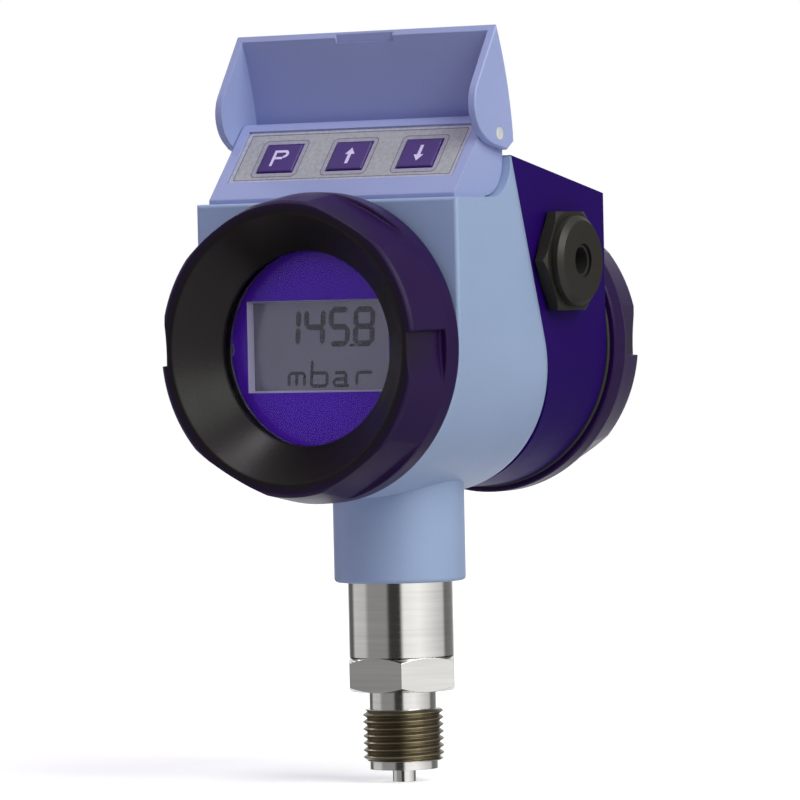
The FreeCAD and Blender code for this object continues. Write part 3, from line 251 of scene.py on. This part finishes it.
def powder_coat(name, colour, roughness, edge=0.35 * MM, specular=0.5, inner=None):
    """Baked powder paint: orange-peel skin, slow drift of tone and faint rubbed patches; inner is
    a darker tone painted on a cover's dish and face, inside its skirt, as painted shade."""
    made = blank_material(name)
    tree = made.node_tree
    where = place(tree)
    drift = noise(tree, where, 16, 3.0)
    speck = noise(tree, where, 2600, 1.0)
    tone = mixed(tree, between(tree, drift, 0, 1), scaled(colour, 0.93), scaled(colour, 1.07))
    # painted shade: the cover's dish and face take the darker brown, which fades into the violet towards the skirt
    if inner:
        skirt = between(tree, off_axis(tree), 0, 1, COVER_FACE_R - 2 * MM, COVER_FACE_R + 1 * MM)
        tone = mixed(tree, skirt, inner, tone)
    tone = mixed(tree, between(tree, speck, 0, 0.35, 0.55, 0.8), tone, scaled(colour, 0.8))
    rub = noise(tree, place(tree, (1, 1, 0.4)), 45, 4.0, 0.6)
    peel = noise(tree, where, 950, 1.5)
    shader = node(tree, "ShaderNodeBsdfPrincipled", {
        "Base Color": tone, "Roughness": between(tree, rub, roughness - 0.05, roughness + 0.07),
        "Specular IOR Level": specular,
        "Normal": bumped(tree, peel, 0.05 * MM, 0.45, edge)})
    output(tree, shader.outputs[0])
    return made


def moulded(name, colour, roughness, grain=1400, depth=0.02, edge=0.2 * MM, specular=0.5):
    """Moulded plastic or rubber: fine eroded grain and slightly uneven gloss."""
    made = blank_material(name)
    tree = made.node_tree
    where = place(tree)
    drift = noise(tree, where, 40, 2.0)
    tone = mixed(tree, between(tree, drift, 0, 1), scaled(colour, 0.9), scaled(colour, 1.1))
    shader = node(tree, "ShaderNodeBsdfPrincipled", {
        "Base Color": tone, "Roughness": between(tree, drift, roughness - 0.04, roughness + 0.05),
        "Specular IOR Level": specular,
        "Normal": bumped(tree, noise(tree, where, grain, 2.0), depth * MM, 0.6, edge)})
    output(tree, shader.outputs[0])
    return made


def turned_steel(name, colour, roughness, oiled=None):
    """Lathe-turned stainless steel: fine rings about the stem's axis; oiled names a z range that
    is browned by thread paste."""
    made = blank_material(name)
    tree = made.node_tree
    rings = noise(tree, place(tree, (60, 60, 5200)), 1.0, 2.0, 0.6)
    streak = noise(tree, place(tree, (40, 40, 900)), 1.0, 2.0)
    tone = mixed(tree, between(tree, streak, 0, 1), scaled(colour, 0.92), scaled(colour, 1.04))
    gloss = between(tree, rings, roughness - 0.03, roughness + 0.05)
    if oiled:
        height = node(tree, "ShaderNodeSeparateXYZ", {0: place(tree)}).outputs["Z"]
        film = between(tree, height, 0.0, 1.0, oiled[1], oiled[1] - 0.3 * MM)
        above = between(tree, height, 0.0, 1.0, oiled[0], oiled[0] + 0.3 * MM)
        film = maths(tree, "MULTIPLY", film, above)
        tone = mixed(tree, film, tone, PASTE_BROWN)
        gloss = maths(tree, "MULTIPLY_ADD", film, 0.2, gloss)
    shader = node(tree, "ShaderNodeBsdfPrincipled", {
        "Base Color": tone, "Metallic": 1.0, "Roughness": gloss,
        "Normal": bumped(tree, rings, 0.003 * MM, 0.35, 0.25 * MM)})
    output(tree, shader.outputs[0])
    return made


def plated(name, colour, roughness):
    """Zinc-plated or spring steel with a slightly clouded skin."""
    made = blank_material(name)
    tree = made.node_tree
    cloud = noise(tree, place(tree), 300, 3.0)
    tone = mixed(tree, between(tree, cloud, 0, 1), scaled(colour, 0.85), colour)
    shader = node(tree, "ShaderNodeBsdfPrincipled", {
        "Base Color": tone, "Metallic": 1.0,
        "Roughness": between(tree, cloud, roughness, roughness + 0.15),
        "Normal": bumped(tree, cloud, 0.01 * MM, 0.5, 0.15 * MM)})
    output(tree, shader.outputs[0])
    return made


def clear_glass(name):
    """Coated window glass, which reflects little and lets lamp light through to the display."""
    made = blank_material(name)
    tree = made.node_tree
    film = noise(tree, place(tree), 60, 2.0)
    glass = node(tree, "ShaderNodeBsdfPrincipled", {
        "Base Color": (0.96, 0.97, 1.0, 1), "Roughness": between(tree, film, 0.0, 0.03),
        "IOR": 1.16, "Transmission Weight": 1.0})
    clear = node(tree, "ShaderNodeBsdfTransparent", {"Color": (0.97, 0.97, 0.98, 1)})
    lamp_ray = node(tree, "ShaderNodeLightPath").outputs["Is Shadow Ray"]
    mix = node(tree, "ShaderNodeMixShader", {0: lamp_ray, 1: glass.outputs[0], 2: clear.outputs[0]})
    output(tree, mix.outputs[0])
    return made


def liquid_crystal(name, colour):
    """Reflective display panel: cloudy polariser over fine horizontal electrode lines."""
    made = blank_material(name)
    tree = made.node_tree
    cloud = noise(tree, place(tree), 70, 2.0)
    lines = noise(tree, place(tree, (20, 20, 5000)), 1.0, 0.0)
    tone = mixed(tree, between(tree, cloud, 0, 1), scaled(colour, 0.88), scaled(colour, 1.1))
    shader = node(tree, "ShaderNodeBsdfPrincipled", {
        "Base Color": tone, "Roughness": between(tree, lines, 0.28, 0.4), "Coat Weight": 0.4,
        "Coat Roughness": 0.08})
    output(tree, shader.outputs[0])
    return made


def circuit_board(name, mask, copper):
    """Solder mask over copper tracks, which run along the borders of small cells."""
    made = blank_material(name)
    tree = made.node_tree
    cells = node(tree, "ShaderNodeTexVoronoi", {"Vector": place(tree), "Scale": 420.0},
                 feature="DISTANCE_TO_EDGE").outputs["Distance"]
    tracks = between(tree, cells, 1, 0, 0.03, 0.06)
    tone = mixed(tree, tracks, mask, copper)
    shader = node(tree, "ShaderNodeBsdfPrincipled", {
        "Base Color": tone, "Roughness": between(tree, tracks, 0.35, 0.28, 0, 1),
        "Normal": bumped(tree, tracks, 0.04 * MM, 0.6)})
    output(tree, shader.outputs[0])
    return made


def ink(name, colour, roughness=0.45):
    """Screen print: thin ink with uneven cover."""
    made = blank_material(name)
    tree = made.node_tree
    cover = noise(tree, place(tree), 900, 2.0)
    tone = mixed(tree, between(tree, cover, 0, 1), scaled(colour, 0.85), scaled(colour, 1.1))
    shader = node(tree, "ShaderNodeBsdfPrincipled", {
        "Base Color": tone, "Roughness": between(tree, cover, roughness - 0.05, roughness + 0.05)})
    output(tree, shader.outputs[0])
    return made


LIGHT_BLUE = (0.305, 0.385, 0.60)
VIOLET = (0.016, 0.0012, 0.105)
DARK_VIOLET = (0.016, 0.0022, 0.048)
# painted shade: near-black brown painted on the covers' dish and face
PAINTED_SHADE_BROWN = (0.008, 0.0055, 0.006)
STEEL = (0.60, 0.59, 0.57)
PASTE_BROWN = (0.20, 0.17, 0.12)

MATERIALS = {
    "turned_steel": turned_steel("turned_steel", STEEL, 0.10),
    "spring_steel": plated("spring_steel", (0.42, 0.42, 0.43), 0.3),
    "zinc_screw": plated("zinc_screw", (0.66, 0.67, 0.68), 0.22),
    "light_blue_paint": powder_coat("light_blue_paint", LIGHT_BLUE, 0.42),
    "violet_paint": powder_coat("violet_paint", VIOLET, 0.40, specular=0.06),
    # the covers: dark violet, with painted shade in brown on the dish and face
    "dark_cover_paint": powder_coat("dark_cover_paint", DARK_VIOLET, 0.33, 1.0 * MM, 0.16,
                                    PAINTED_SHADE_BROWN),
    "seal_rubber": moulded("seal_rubber", (0.016, 0.016, 0.017), 0.6, specular=0.3),
    "black_plastic": moulded("black_plastic", (0.011, 0.009, 0.006), 0.45, specular=0.3),
    "violet_plastic": moulded("violet_plastic", (0.050, 0.003, 0.30), 0.45, 2200, 0.012,
                              specular=0.12),
    "blue_plastic": powder_coat("blue_plastic", (0.31, 0.35, 0.63), 0.45),
    "foil": ink("foil", (0.39, 0.385, 0.43), 0.4),
    "key_plastic": moulded("key_plastic", (0.050, 0.016, 0.165), 0.32, 2400, 0.01, specular=0.3),
    "glass": clear_glass("glass"),
    "lcd": liquid_crystal("lcd", (0.085, 0.080, 0.115)),
    "ceramic_cell": moulded("ceramic_cell", (0.78, 0.76, 0.70), 0.55),
    "circuit_board": circuit_board("circuit_board", (0.012, 0.10, 0.035), (0.05, 0.20, 0.06)),
    "terminal_plastic": moulded("terminal_plastic", (0.04, 0.20, 0.08), 0.42),
    "lead_jacket": moulded("lead_jacket", (0.28, 0.28, 0.29), 0.5),
}
SEGMENT_INK = ink("segment_ink", (0.006, 0.005, 0.010), 0.3)
MARK_INK = ink("mark_ink", (0.74, 0.64, 0.95))
LINE_INK = ink("line_ink", (0.15, 0.13, 0.20))
BAND_INKS = {"plate_line": LINE_INK, "key_lines": LINE_INK,
             "key_halos": ink("halo_ink", (0.35, 0.33, 0.43)),
             "plate_edge": ink("edge_ink", (0.46, 0.46, 0.58))}
FRAME_PLASTIC = moulded("frame_plastic", (0.46, 0.42, 0.60), 0.35)


FINISHES = {"hinge_pins": plated("polished_pin", (0.92, 0.92, 0.93), 0.45)}


def paint_nodes():
    """Gives each node its slot's material, or a finish of its own."""
    for part in RECORD["subparts"]:
        mesh = NODES[part["node"]].data
        mesh.materials.clear()
        mesh.materials.append(FINISHES.get(part["node"], MATERIALS[part["material_slot"]]))


# ---- mesh helpers
def add_object(name, data):
    made = bpy.data.objects.new(name, data)
    bpy.context.scene.collection.objects.link(made)
    return made


def finished(bm, name, material, body, sharp=math.radians(32)):
    """Turns a bmesh into a smooth-shaded piece with creases at sharp edges, riding on a body."""
    bmesh.ops.recalc_face_normals(bm, faces=bm.faces)
    for face in bm.faces:
        face.smooth = True
    for edge in bm.edges:
        edge.smooth = len(edge.link_faces) == 2 and edge.calc_face_angle(0.0) < sharp
    mesh = bpy.data.meshes.new(name)
    bm.to_mesh(mesh)
    bm.free()
    mesh.materials.append(material)
    piece = add_object(name, mesh)
    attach(piece, body)
    return piece


def loft(bm, rings):
    """Skins a stack of equal closed rings; a ring of one vertex closes an end."""
    for low, high in zip(rings, rings[1:]):
        count = max(len(low), len(high))
        for i in range(count):
            j = (i + 1) % count
            corners = (low[i % len(low)], low[j % len(low)],
                       high[j % len(high)], high[i % len(high)])
            bm.faces.new(list(dict.fromkeys(corners)))


def ring_of(bm, radius_at, z_at, slices):
    made = []
    for i in range(slices):
        angle = 2 * math.pi * i / slices
        radius = radius_at(angle)
        made.append(bm.verts.new((radius * math.cos(angle), radius * math.sin(angle), z_at(angle))))
    return made


# ---- process connection with a real helical thread
def hexagon_radius(angle):
    return HEX_FLATS / 2 / math.cos((angle % (math.pi / 3)) - math.pi / 6)


def chamfer_radius(angle):
    return min(hexagon_radius(angle), HEX_FLATS / math.sqrt(3) - HEX_EDGE)


def chamfer_drop(angle):
    return (hexagon_radius(angle) - chamfer_radius(angle)) * math.tan(math.radians(30))


def thread_radius(angle, z, top, bottom, crest):
    """55-degree whitworth form with rounded crests and roots, run out by a cone at both ends."""
    phase = (z / THREAD_PITCH - angle / (2 * math.pi)) % 1.0
    rounded_ridge = 0.5 + 0.5 * math.cos(2 * math.pi * phase)
    ridge = THREAD_FLANK * abs(1 - 2 * phase) + (1 - THREAD_FLANK) * rounded_ridge
    full = crest - THREAD_DEPTH * (1 - ridge)
    cone = crest - THREAD_RUN_OUT + min(top - z, z - bottom)
    return min(full, cone)


def process_thread():
    """The whole turned connection, standing in for the plain one."""
    mount = next(m for m in RECORD["mounts"] if m["name"] == "process_thread")
    crest = mount["dims"]["r_mm"] * MM
    top = -UNDERCUT_L
    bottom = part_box("process_connection")[0][2] + SPIGOT_L + LAND_L
    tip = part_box("process_connection")[0][2]
    root = crest - THREAD_DEPTH
    bm = bmesh.new()

    def flat(radius, z):
        return ring_of(bm, lambda a: radius, lambda a: z, THREAD_SLICES)

    rows = [flat(PORT_R, HEX_HEIGHT + BOSS_H), flat(BOSS_R, HEX_HEIGHT + BOSS_H),
            flat(BOSS_R, HEX_HEIGHT)]
    rows.append(ring_of(bm, chamfer_radius, lambda a: HEX_HEIGHT, THREAD_SLICES))
    rows.append(ring_of(bm, hexagon_radius, lambda a: HEX_HEIGHT - chamfer_drop(a), THREAD_SLICES))
    rows.append(ring_of(bm, hexagon_radius, chamfer_drop, THREAD_SLICES))
    rows.append(ring_of(bm, chamfer_radius, lambda a: 0.0, THREAD_SLICES))
    rows += [flat(UNDERCUT_R, 0.0), flat(UNDERCUT_R, top), flat(root, top)]
    steps = round((top - bottom) / THREAD_PITCH * THREAD_ROWS_PER_PITCH)
    for k in range(1, steps):
        z = top + (bottom - top) * k / steps
        rows.append(ring_of(bm, lambda a: thread_radius(a, z, top, bottom, crest),
                            lambda a: z, THREAD_SLICES))
    rows += [flat(root, bottom), flat(LAND_R, bottom), flat(LAND_R, bottom - LAND_L)]
    rows += [flat(SPIGOT_R, bottom - LAND_L), flat(SPIGOT_R, tip), flat(PORT_R, tip)]
    rows.append(rows[0])
    loft(bm, rows)
    bmesh.ops.remove_doubles(bm, verts=bm.verts, dist=WELD)
    steel = turned_steel("threaded_steel", STEEL, 0.12, (bottom, top))
    piece = finished(bm, "threaded_connection", steel, "stem")
    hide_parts("process_connection")


# ---- flat print, drawn as thin prisms on a plane
def prism(bm, outline, to_space, height):
    low = [bm.verts.new(to_space(x, y, 0.0)) for x, y in outline]
    high = [bm.verts.new(to_space(x, y, height)) for x, y in outline]
    loft(bm, [low, high])
    bm.faces.new(low)
    bm.faces.new(high)


def bar(x0, y0, x1, y1):
    return [(x0, y0), (x1, y0), (x1, y1), (x0, y1)]


def stroke(x0, y0, x1, y1, width):
    """A segment with pointed ends, as on a liquid-crystal digit."""
    along = Vector((x1 - x0, y1 - y0)).normalized()
    side = Vector((-along.y, along.x)) * width / 2
    tip = along * width / 2
    a, b = Vector((x0, y0)), Vector((x1, y1))
    corners = (a, a + tip + side, b - tip + side, b, b - tip - side, a + tip - side)
    return [tuple(corner) for corner in corners]


def slanted(points, lean):
    return [(x + lean * y, y) for x, y in points]


# the seven segments, as strokes over a grid one cell wide and two high
SEGMENTS = {"a": (0, 2, 1, 2), "b": (1, 1, 1, 2), "c": (1, 0, 1, 1), "d": (0, 0, 1, 0),
            "e": (0, 0, 0, 1), "f": (0, 1, 0, 2), "g": (0, 1, 1, 1)}
DIGITS = {"1": "bc", "4": "bcfg", "5": "acdfg", "8": "abcdefg"}
# letters on the lower line, over the same grid
LETTERS = {"m": ((0, 0, 0, 1), (0, 1, 1, 1), (1, 0, 1, 1), (0.5, 0, 0.5, 1)),
           "b": ((0, 0, 0, 2), (0, 1, 1, 1), (1, 0, 1, 1), (0, 0, 1, 0)),
           "a": ((0, 1, 0.75, 1), (0.75, 0, 0.75, 1), (0, 0, 1, 0), (0, 0.5, 0.75, 0.5),
                 (0, 0, 0, 0.5)),
           "r": ((0, 0, 0, 1), (0, 1, 1, 1))}
POINT = ((0, 0, 0.01, 0.16),)


def display_reading():
    """Four digits over a unit, in dark segments just proud of the liquid-crystal panel."""
    low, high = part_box("lcd_panel")
    face_y, right = low[1], high[0]
    digits_left = right - len(READING) * DIGIT_PITCH - READING_INSET
    unit_left = digits_left + UNIT_SHIFT
    bm = bmesh.new()

    def on_face(x, z, out):
        return (x, face_y - PRINT_T - out, z)

    def draw(strokes, left, foot, width, height, thick):
        for x0, y0, x1, y1 in strokes:
            shape = stroke(x0 * width, y0 * height / 2, x1 * width, y1 * height / 2, thick)
            outline = [(left + x, foot + y) for x, y in slanted(shape, SLANT)]
            prism(bm, outline, on_face, PRINT_T)

    for i, digit in enumerate(READING):
        strokes = [SEGMENTS[s] for s in DIGITS[digit]]
        draw(strokes, digits_left + i * DIGIT_PITCH, DIGITS_FOOT, DIGIT_W, DIGIT_H, DIGIT_STROKE)
    point_x = digits_left + (READING_POINT - 1) * DIGIT_PITCH + DIGIT_W + DIGIT_STROKE
    draw(POINT, point_x, DIGITS_FOOT - DIGIT_STROKE / 2, DIGIT_W, DIGIT_H, DIGIT_STROKE)
    for i, letter in enumerate(UNIT):
        draw(LETTERS[letter], unit_left + i * UNIT_PITCH, UNIT_FOOT, UNIT_W, UNIT_H, UNIT_STROKE)
    piece = finished(bm, "display_reading", SEGMENT_INK, "housing")


def display_surround():
    """Pale moulded lip that lines the opening round the liquid-crystal panel."""
    low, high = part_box("lcd_panel")
    front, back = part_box("display_bezel")[0][1] + DISPLAY_LIP_SINK, low[1] - PRINT_T
    x0, x1 = low[0] + DISPLAY_LIP_MARGIN, high[0] - DISPLAY_LIP_MARGIN
    z0, z1 = low[2] + DISPLAY_LIP_MARGIN, high[2] - DISPLAY_LIP_MARGIN
    outer = bar(x0, z0, x1, z1)
    inner = bar(x0 + DISPLAY_LIP_W, z0 + DISPLAY_LIP_W, x1 - DISPLAY_LIP_W, z1 - DISPLAY_LIP_W)
    levels = ((outer, back), (outer, front), (inner, back - DISPLAY_LIP_EDGE), (inner, back))
    bm = bmesh.new()
    rows = [[bm.verts.new((x, y, z)) for x, z in outline] for outline, y in levels]
    rows.append(rows[0])
    loft(bm, rows)
    piece = finished(bm, "display_surround", FRAME_PLASTIC, "housing")


def panel_space(out):
    """Maps (x, up the panel, height) to the part's frame, for a plane that far above the panel."""
    hinge = next(j for j in frame["joints"] if j["name"] == "lid_hinge")["pos_m"]
    top = Vector((0, hinge[1], hinge[2])) + PANEL_OUT * BARREL_R

    def to_space(x, y, height):
        return top + Vector((x, 0, 0)) + PANEL_UP * y + PANEL_OUT * (out + height)
    return to_space


def up_panel(point):
    """How far up the panel a point of the part's frame lies."""
    return (point - panel_space(0)(0, 0, 0)).dot(PANEL_UP)


def key_centre(name):
    """Centre of a key in panel coordinates."""
    low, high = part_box(name)
    middle = (Vector(low) + Vector(high)) / 2
    return middle.x, up_panel(middle)


def letter_p():
    """Upright and bowl of a capital P, as separate outlines."""
    half, top, w, start = BOWL_HALF_W, MARK_H, MARK_STROKE, BOWL_HALF_W * BOWL_START
    bowl = [bar(-half, top - w, start, top), bar(-half, -w / 2, start, w / 2)]
    curve = [(start + (half - start + r) * math.cos(a), top / 2 + (top / 2 - w + r) * math.sin(a))
             for r, span in ((w, range(-6, 7)), (0.0, range(6, -7, -1)))
             for a in (math.radians(15 * s) for s in span)]
    return [bar(-half - w, -top, -half, top)] + bowl + [curve]


def arrow(sign):
    """Shaft and head of an arrow that points up the panel (1) or down it (-1)."""
    neck, tip = sign * MARK_H * BARB_START, sign * MARK_H
    low, high = sorted((-tip, neck))
    head = [(-BARB_HALF_W, neck), (BARB_HALF_W, neck), (0, tip)]
    return [bar(-SHAFT_HALF_W, low, SHAFT_HALF_W, high), head]


def key_marks():
    """The printed symbol on each key, which travels with the key."""
    marks = (("key_program", "program_key", letter_p()), ("key_up", "up_key", arrow(1)),
             ("key_down", "down_key", arrow(-1)))
    to_space = panel_space(KEY_PROUD - PLATE_SINK + PRINT_LIFT)
    for name, body, outlines in marks:
        x, y = key_centre(name)
        bm = bmesh.new()
        for outline in outlines:
            prism(bm, [(x + px, y + py) for px, py in outline], to_space, PRINT_T)
        piece = finished(bm, name + "_mark", MARK_INK, body)


def rounded(x, y, half_w, half_h, radius):
    """Outline of a rectangle with rounded corners, with equally many points at any size."""
    outline = []
    for quarter, (side, rise) in enumerate(((1, 1), (-1, 1), (-1, -1), (1, -1))):
        for step in range(CORNER_STEPS + 1):
            angle = math.pi / 2 * (quarter + step / CORNER_STEPS)
            outline.append((x + side * (half_w - radius) + radius * math.cos(angle),
                            y + rise * (half_h - radius) + radius * math.sin(angle)))
    return outline


def printed_band(name, places, half, grow, width, radius):
    """A band of ink on the overlay foil round each place, which has the given half sizes."""
    bm = bmesh.new()
    to_space = panel_space(-PLATE_SINK)
    half_w, half_h = half[0] + grow, half[1] + grow
    inner_radius = max(radius - width, BAND_CORNER_MIN)
    for x, y in places:
        outer = rounded(x, y, half_w, half_h, radius)
        inner = rounded(x, y, half_w - width, half_h - width, inner_radius)
        levels = ((outer, 0.0), (outer, PRINT_T), (inner, PRINT_T), (inner, 0.0))
        rings = [[bm.verts.new(to_space(px, py, height)) for px, py in outline]
                 for outline, height in levels]
        loft(bm, rings + rings[:1])
    piece = finished(bm, name, BAND_INKS[name], "housing")


def plate_print():
    """Printing on the overlay foil: a light edge with a dark line in it, and a frame for each key."""
    low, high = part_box("keypad_plate")
    half_plate = ((high[0] - low[0]) / 2, (high[2] - low[2]) / 2 / math.sin(PANEL_TILT))
    plate = [(0.0, up_panel((Vector(low) + Vector(high)) / 2))]
    keys = [key_centre(name) for name in ("key_program", "key_up", "key_down")]
    for name, grow, width, radius in PLATE_BANDS:
        printed_band(name, plate, half_plate, grow, width, radius)
    for name, grow, width, radius in KEY_BANDS:
        printed_band(name, keys, (KEY_W / 2, KEY_H / 2), grow, width, radius)


# ---- studio
def add_camera():
    aside = Vector((math.cos(CAMERA_AZIMUTH), math.sin(CAMERA_AZIMUTH), 0))
    away = Vector((math.sin(CAMERA_AZIMUTH), -math.cos(CAMERA_AZIMUTH), 0))
    spot = CAMERA_AIM + away * CAMERA_DISTANCE + Vector((0, 0, CAMERA_RISE))
    back = (spot - CAMERA_AIM).normalized()
    up = back.cross(aside).normalized()
    right = aside * math.cos(CAMERA_ROLL) - up * math.sin(CAMERA_ROLL)
    up = back.cross(right)
    data = bpy.data.cameras.new("camera")
    data.lens, data.sensor_width, data.clip_end = CAMERA_LENS, CAMERA_SENSOR, CAMERA_REACH
    camera = add_object("camera", data)
    camera.matrix_world = Matrix.Translation(spot) @ Matrix((right, up, back)).transposed().to_4x4()
    bpy.context.scene.camera = camera


def add_lamp(name, azimuth, elevation, distance, size, power, colour, reflected):
    """Square soft box that faces the middle of the object; azimuth runs from -Y towards +X."""
    azimuth, elevation = math.radians(azimuth), math.radians(elevation)
    middle = (Vector(CAD_BOX[0]) + Vector(CAD_BOX[1])) / 2
    away = Vector((math.sin(azimuth) * math.cos(elevation),
                   -math.cos(azimuth) * math.cos(elevation), math.sin(elevation)))
    data = bpy.data.lights.new(name, "AREA")
    data.energy, data.size, data.color = power, size, colour
    lamp = add_object(name, data)
    lamp.location = middle + away * distance
    lamp.rotation_euler = away.to_track_quat("Z", "Y").to_euler()
    lamp.visible_glossy = reflected


def add_world():
    """White for the camera and for glass; for metal and gloss a studio with soft dark flags."""
    world = bpy.data.worlds.new("studio")
    world.use_nodes = True
    world.cycles.sampling_method = "NONE"
    bpy.context.scene.world = world
    tree = world.node_tree
    tree.nodes.clear()
    seen_from = node(tree, "ShaderNodeTexCoord").outputs["Generated"]
    way = node(tree, "ShaderNodeSeparateXYZ", {0: seen_from}).outputs
    angle = maths(tree, "ARCTAN2", way["X"], maths(tree, "MULTIPLY", way["Y"], -1.0))
    turn = between(tree, angle, 0.0, 1.0, -math.pi, math.pi)
    ramp = node(tree, "ShaderNodeValToRGB", {"Fac": turn})
    bands = ramp.color_ramp.elements
    bands.remove(bands[1])
    for index, (degrees, level) in enumerate(SURROUNDINGS):
        spot = (degrees + 180) / 360
        band = bands.new(spot) if index else bands[0]
        band.position = spot
        band.color = (level, level, level, 1)
    path = node(tree, "ShaderNodeLightPath").outputs
    overhead = between(tree, way["Z"], 0, 1, *OVERHEAD)
    around = mixed(tree, overhead, ramp.outputs["Color"], (1, 1, 1))
    strength = between(tree, overhead, 1, CEILING, 0, 1)
    gloss = node(tree, "ShaderNodeBackground", {"Color": around, "Strength": strength})
    ambient = node(tree, "ShaderNodeBackground", {"Color": (*COOL, 1), "Strength": AMBIENT})
    white = node(tree, "ShaderNodeBackground", {"Color": (1, 1, 1, 1), "Strength": 1.0})
    seen = maths(tree, "MAXIMUM", path["Is Camera Ray"], path["Is Transmission Ray"])
    lit = node(tree, "ShaderNodeMixShader",
               {0: path["Is Glossy Ray"], 1: ambient.outputs[0], 2: gloss.outputs[0]})
    whole = node(tree, "ShaderNodeMixShader", {0: seen, 1: lit.outputs[0], 2: white.outputs[0]})
    node(tree, "ShaderNodeOutputWorld", {"Surface": whole.outputs[0]})


def add_floor():
    """Pale sweep under the object; it keeps the object's shadow and is white to the camera."""
    bm = bmesh.new()
    bmesh.ops.create_grid(bm, x_segments=1, y_segments=1, size=FLOOR_HALF)
    mesh = bpy.data.meshes.new("floor")
    bm.to_mesh(mesh)
    bm.free()
    floor = add_object("floor", mesh)
    floor.location = (0, 0, CAD_BOX[0][2] - FLOOR_GAP)
    floor.visible_glossy = False
    made = blank_material("floor")
    tree = made.node_tree
    away = vector_maths(tree, "LENGTH", place(tree), result="Value")
    soft = node(tree, "ShaderNodeBsdfDiffuse", {"Color": (0.8, 0.8, 0.8, 1)})
    glow = between(tree, away, *FLOOR_GLOW, *FLOOR_GLOW_REACH)
    shine = node(tree, "ShaderNodeEmission", {"Strength": glow})
    bright = node(tree, "ShaderNodeAddShader", {0: soft.outputs[0], 1: shine.outputs[0]})
    camera_ray = node(tree, "ShaderNodeLightPath").outputs["Is Camera Ray"]
    mix = node(tree, "ShaderNodeMixShader", {0: camera_ray, 1: soft.outputs[0], 2: bright.outputs[0]})
    output(tree, mix.outputs[0])
    mesh.materials.append(made)


bpy.context.scene.view_settings.view_transform = "Standard"
paint_nodes()
process_thread()
display_reading()
display_surround()
key_marks()
plate_print()
add_camera()
for lamp in LAMPS:
    add_lamp(*lamp)
add_world()
add_floor()
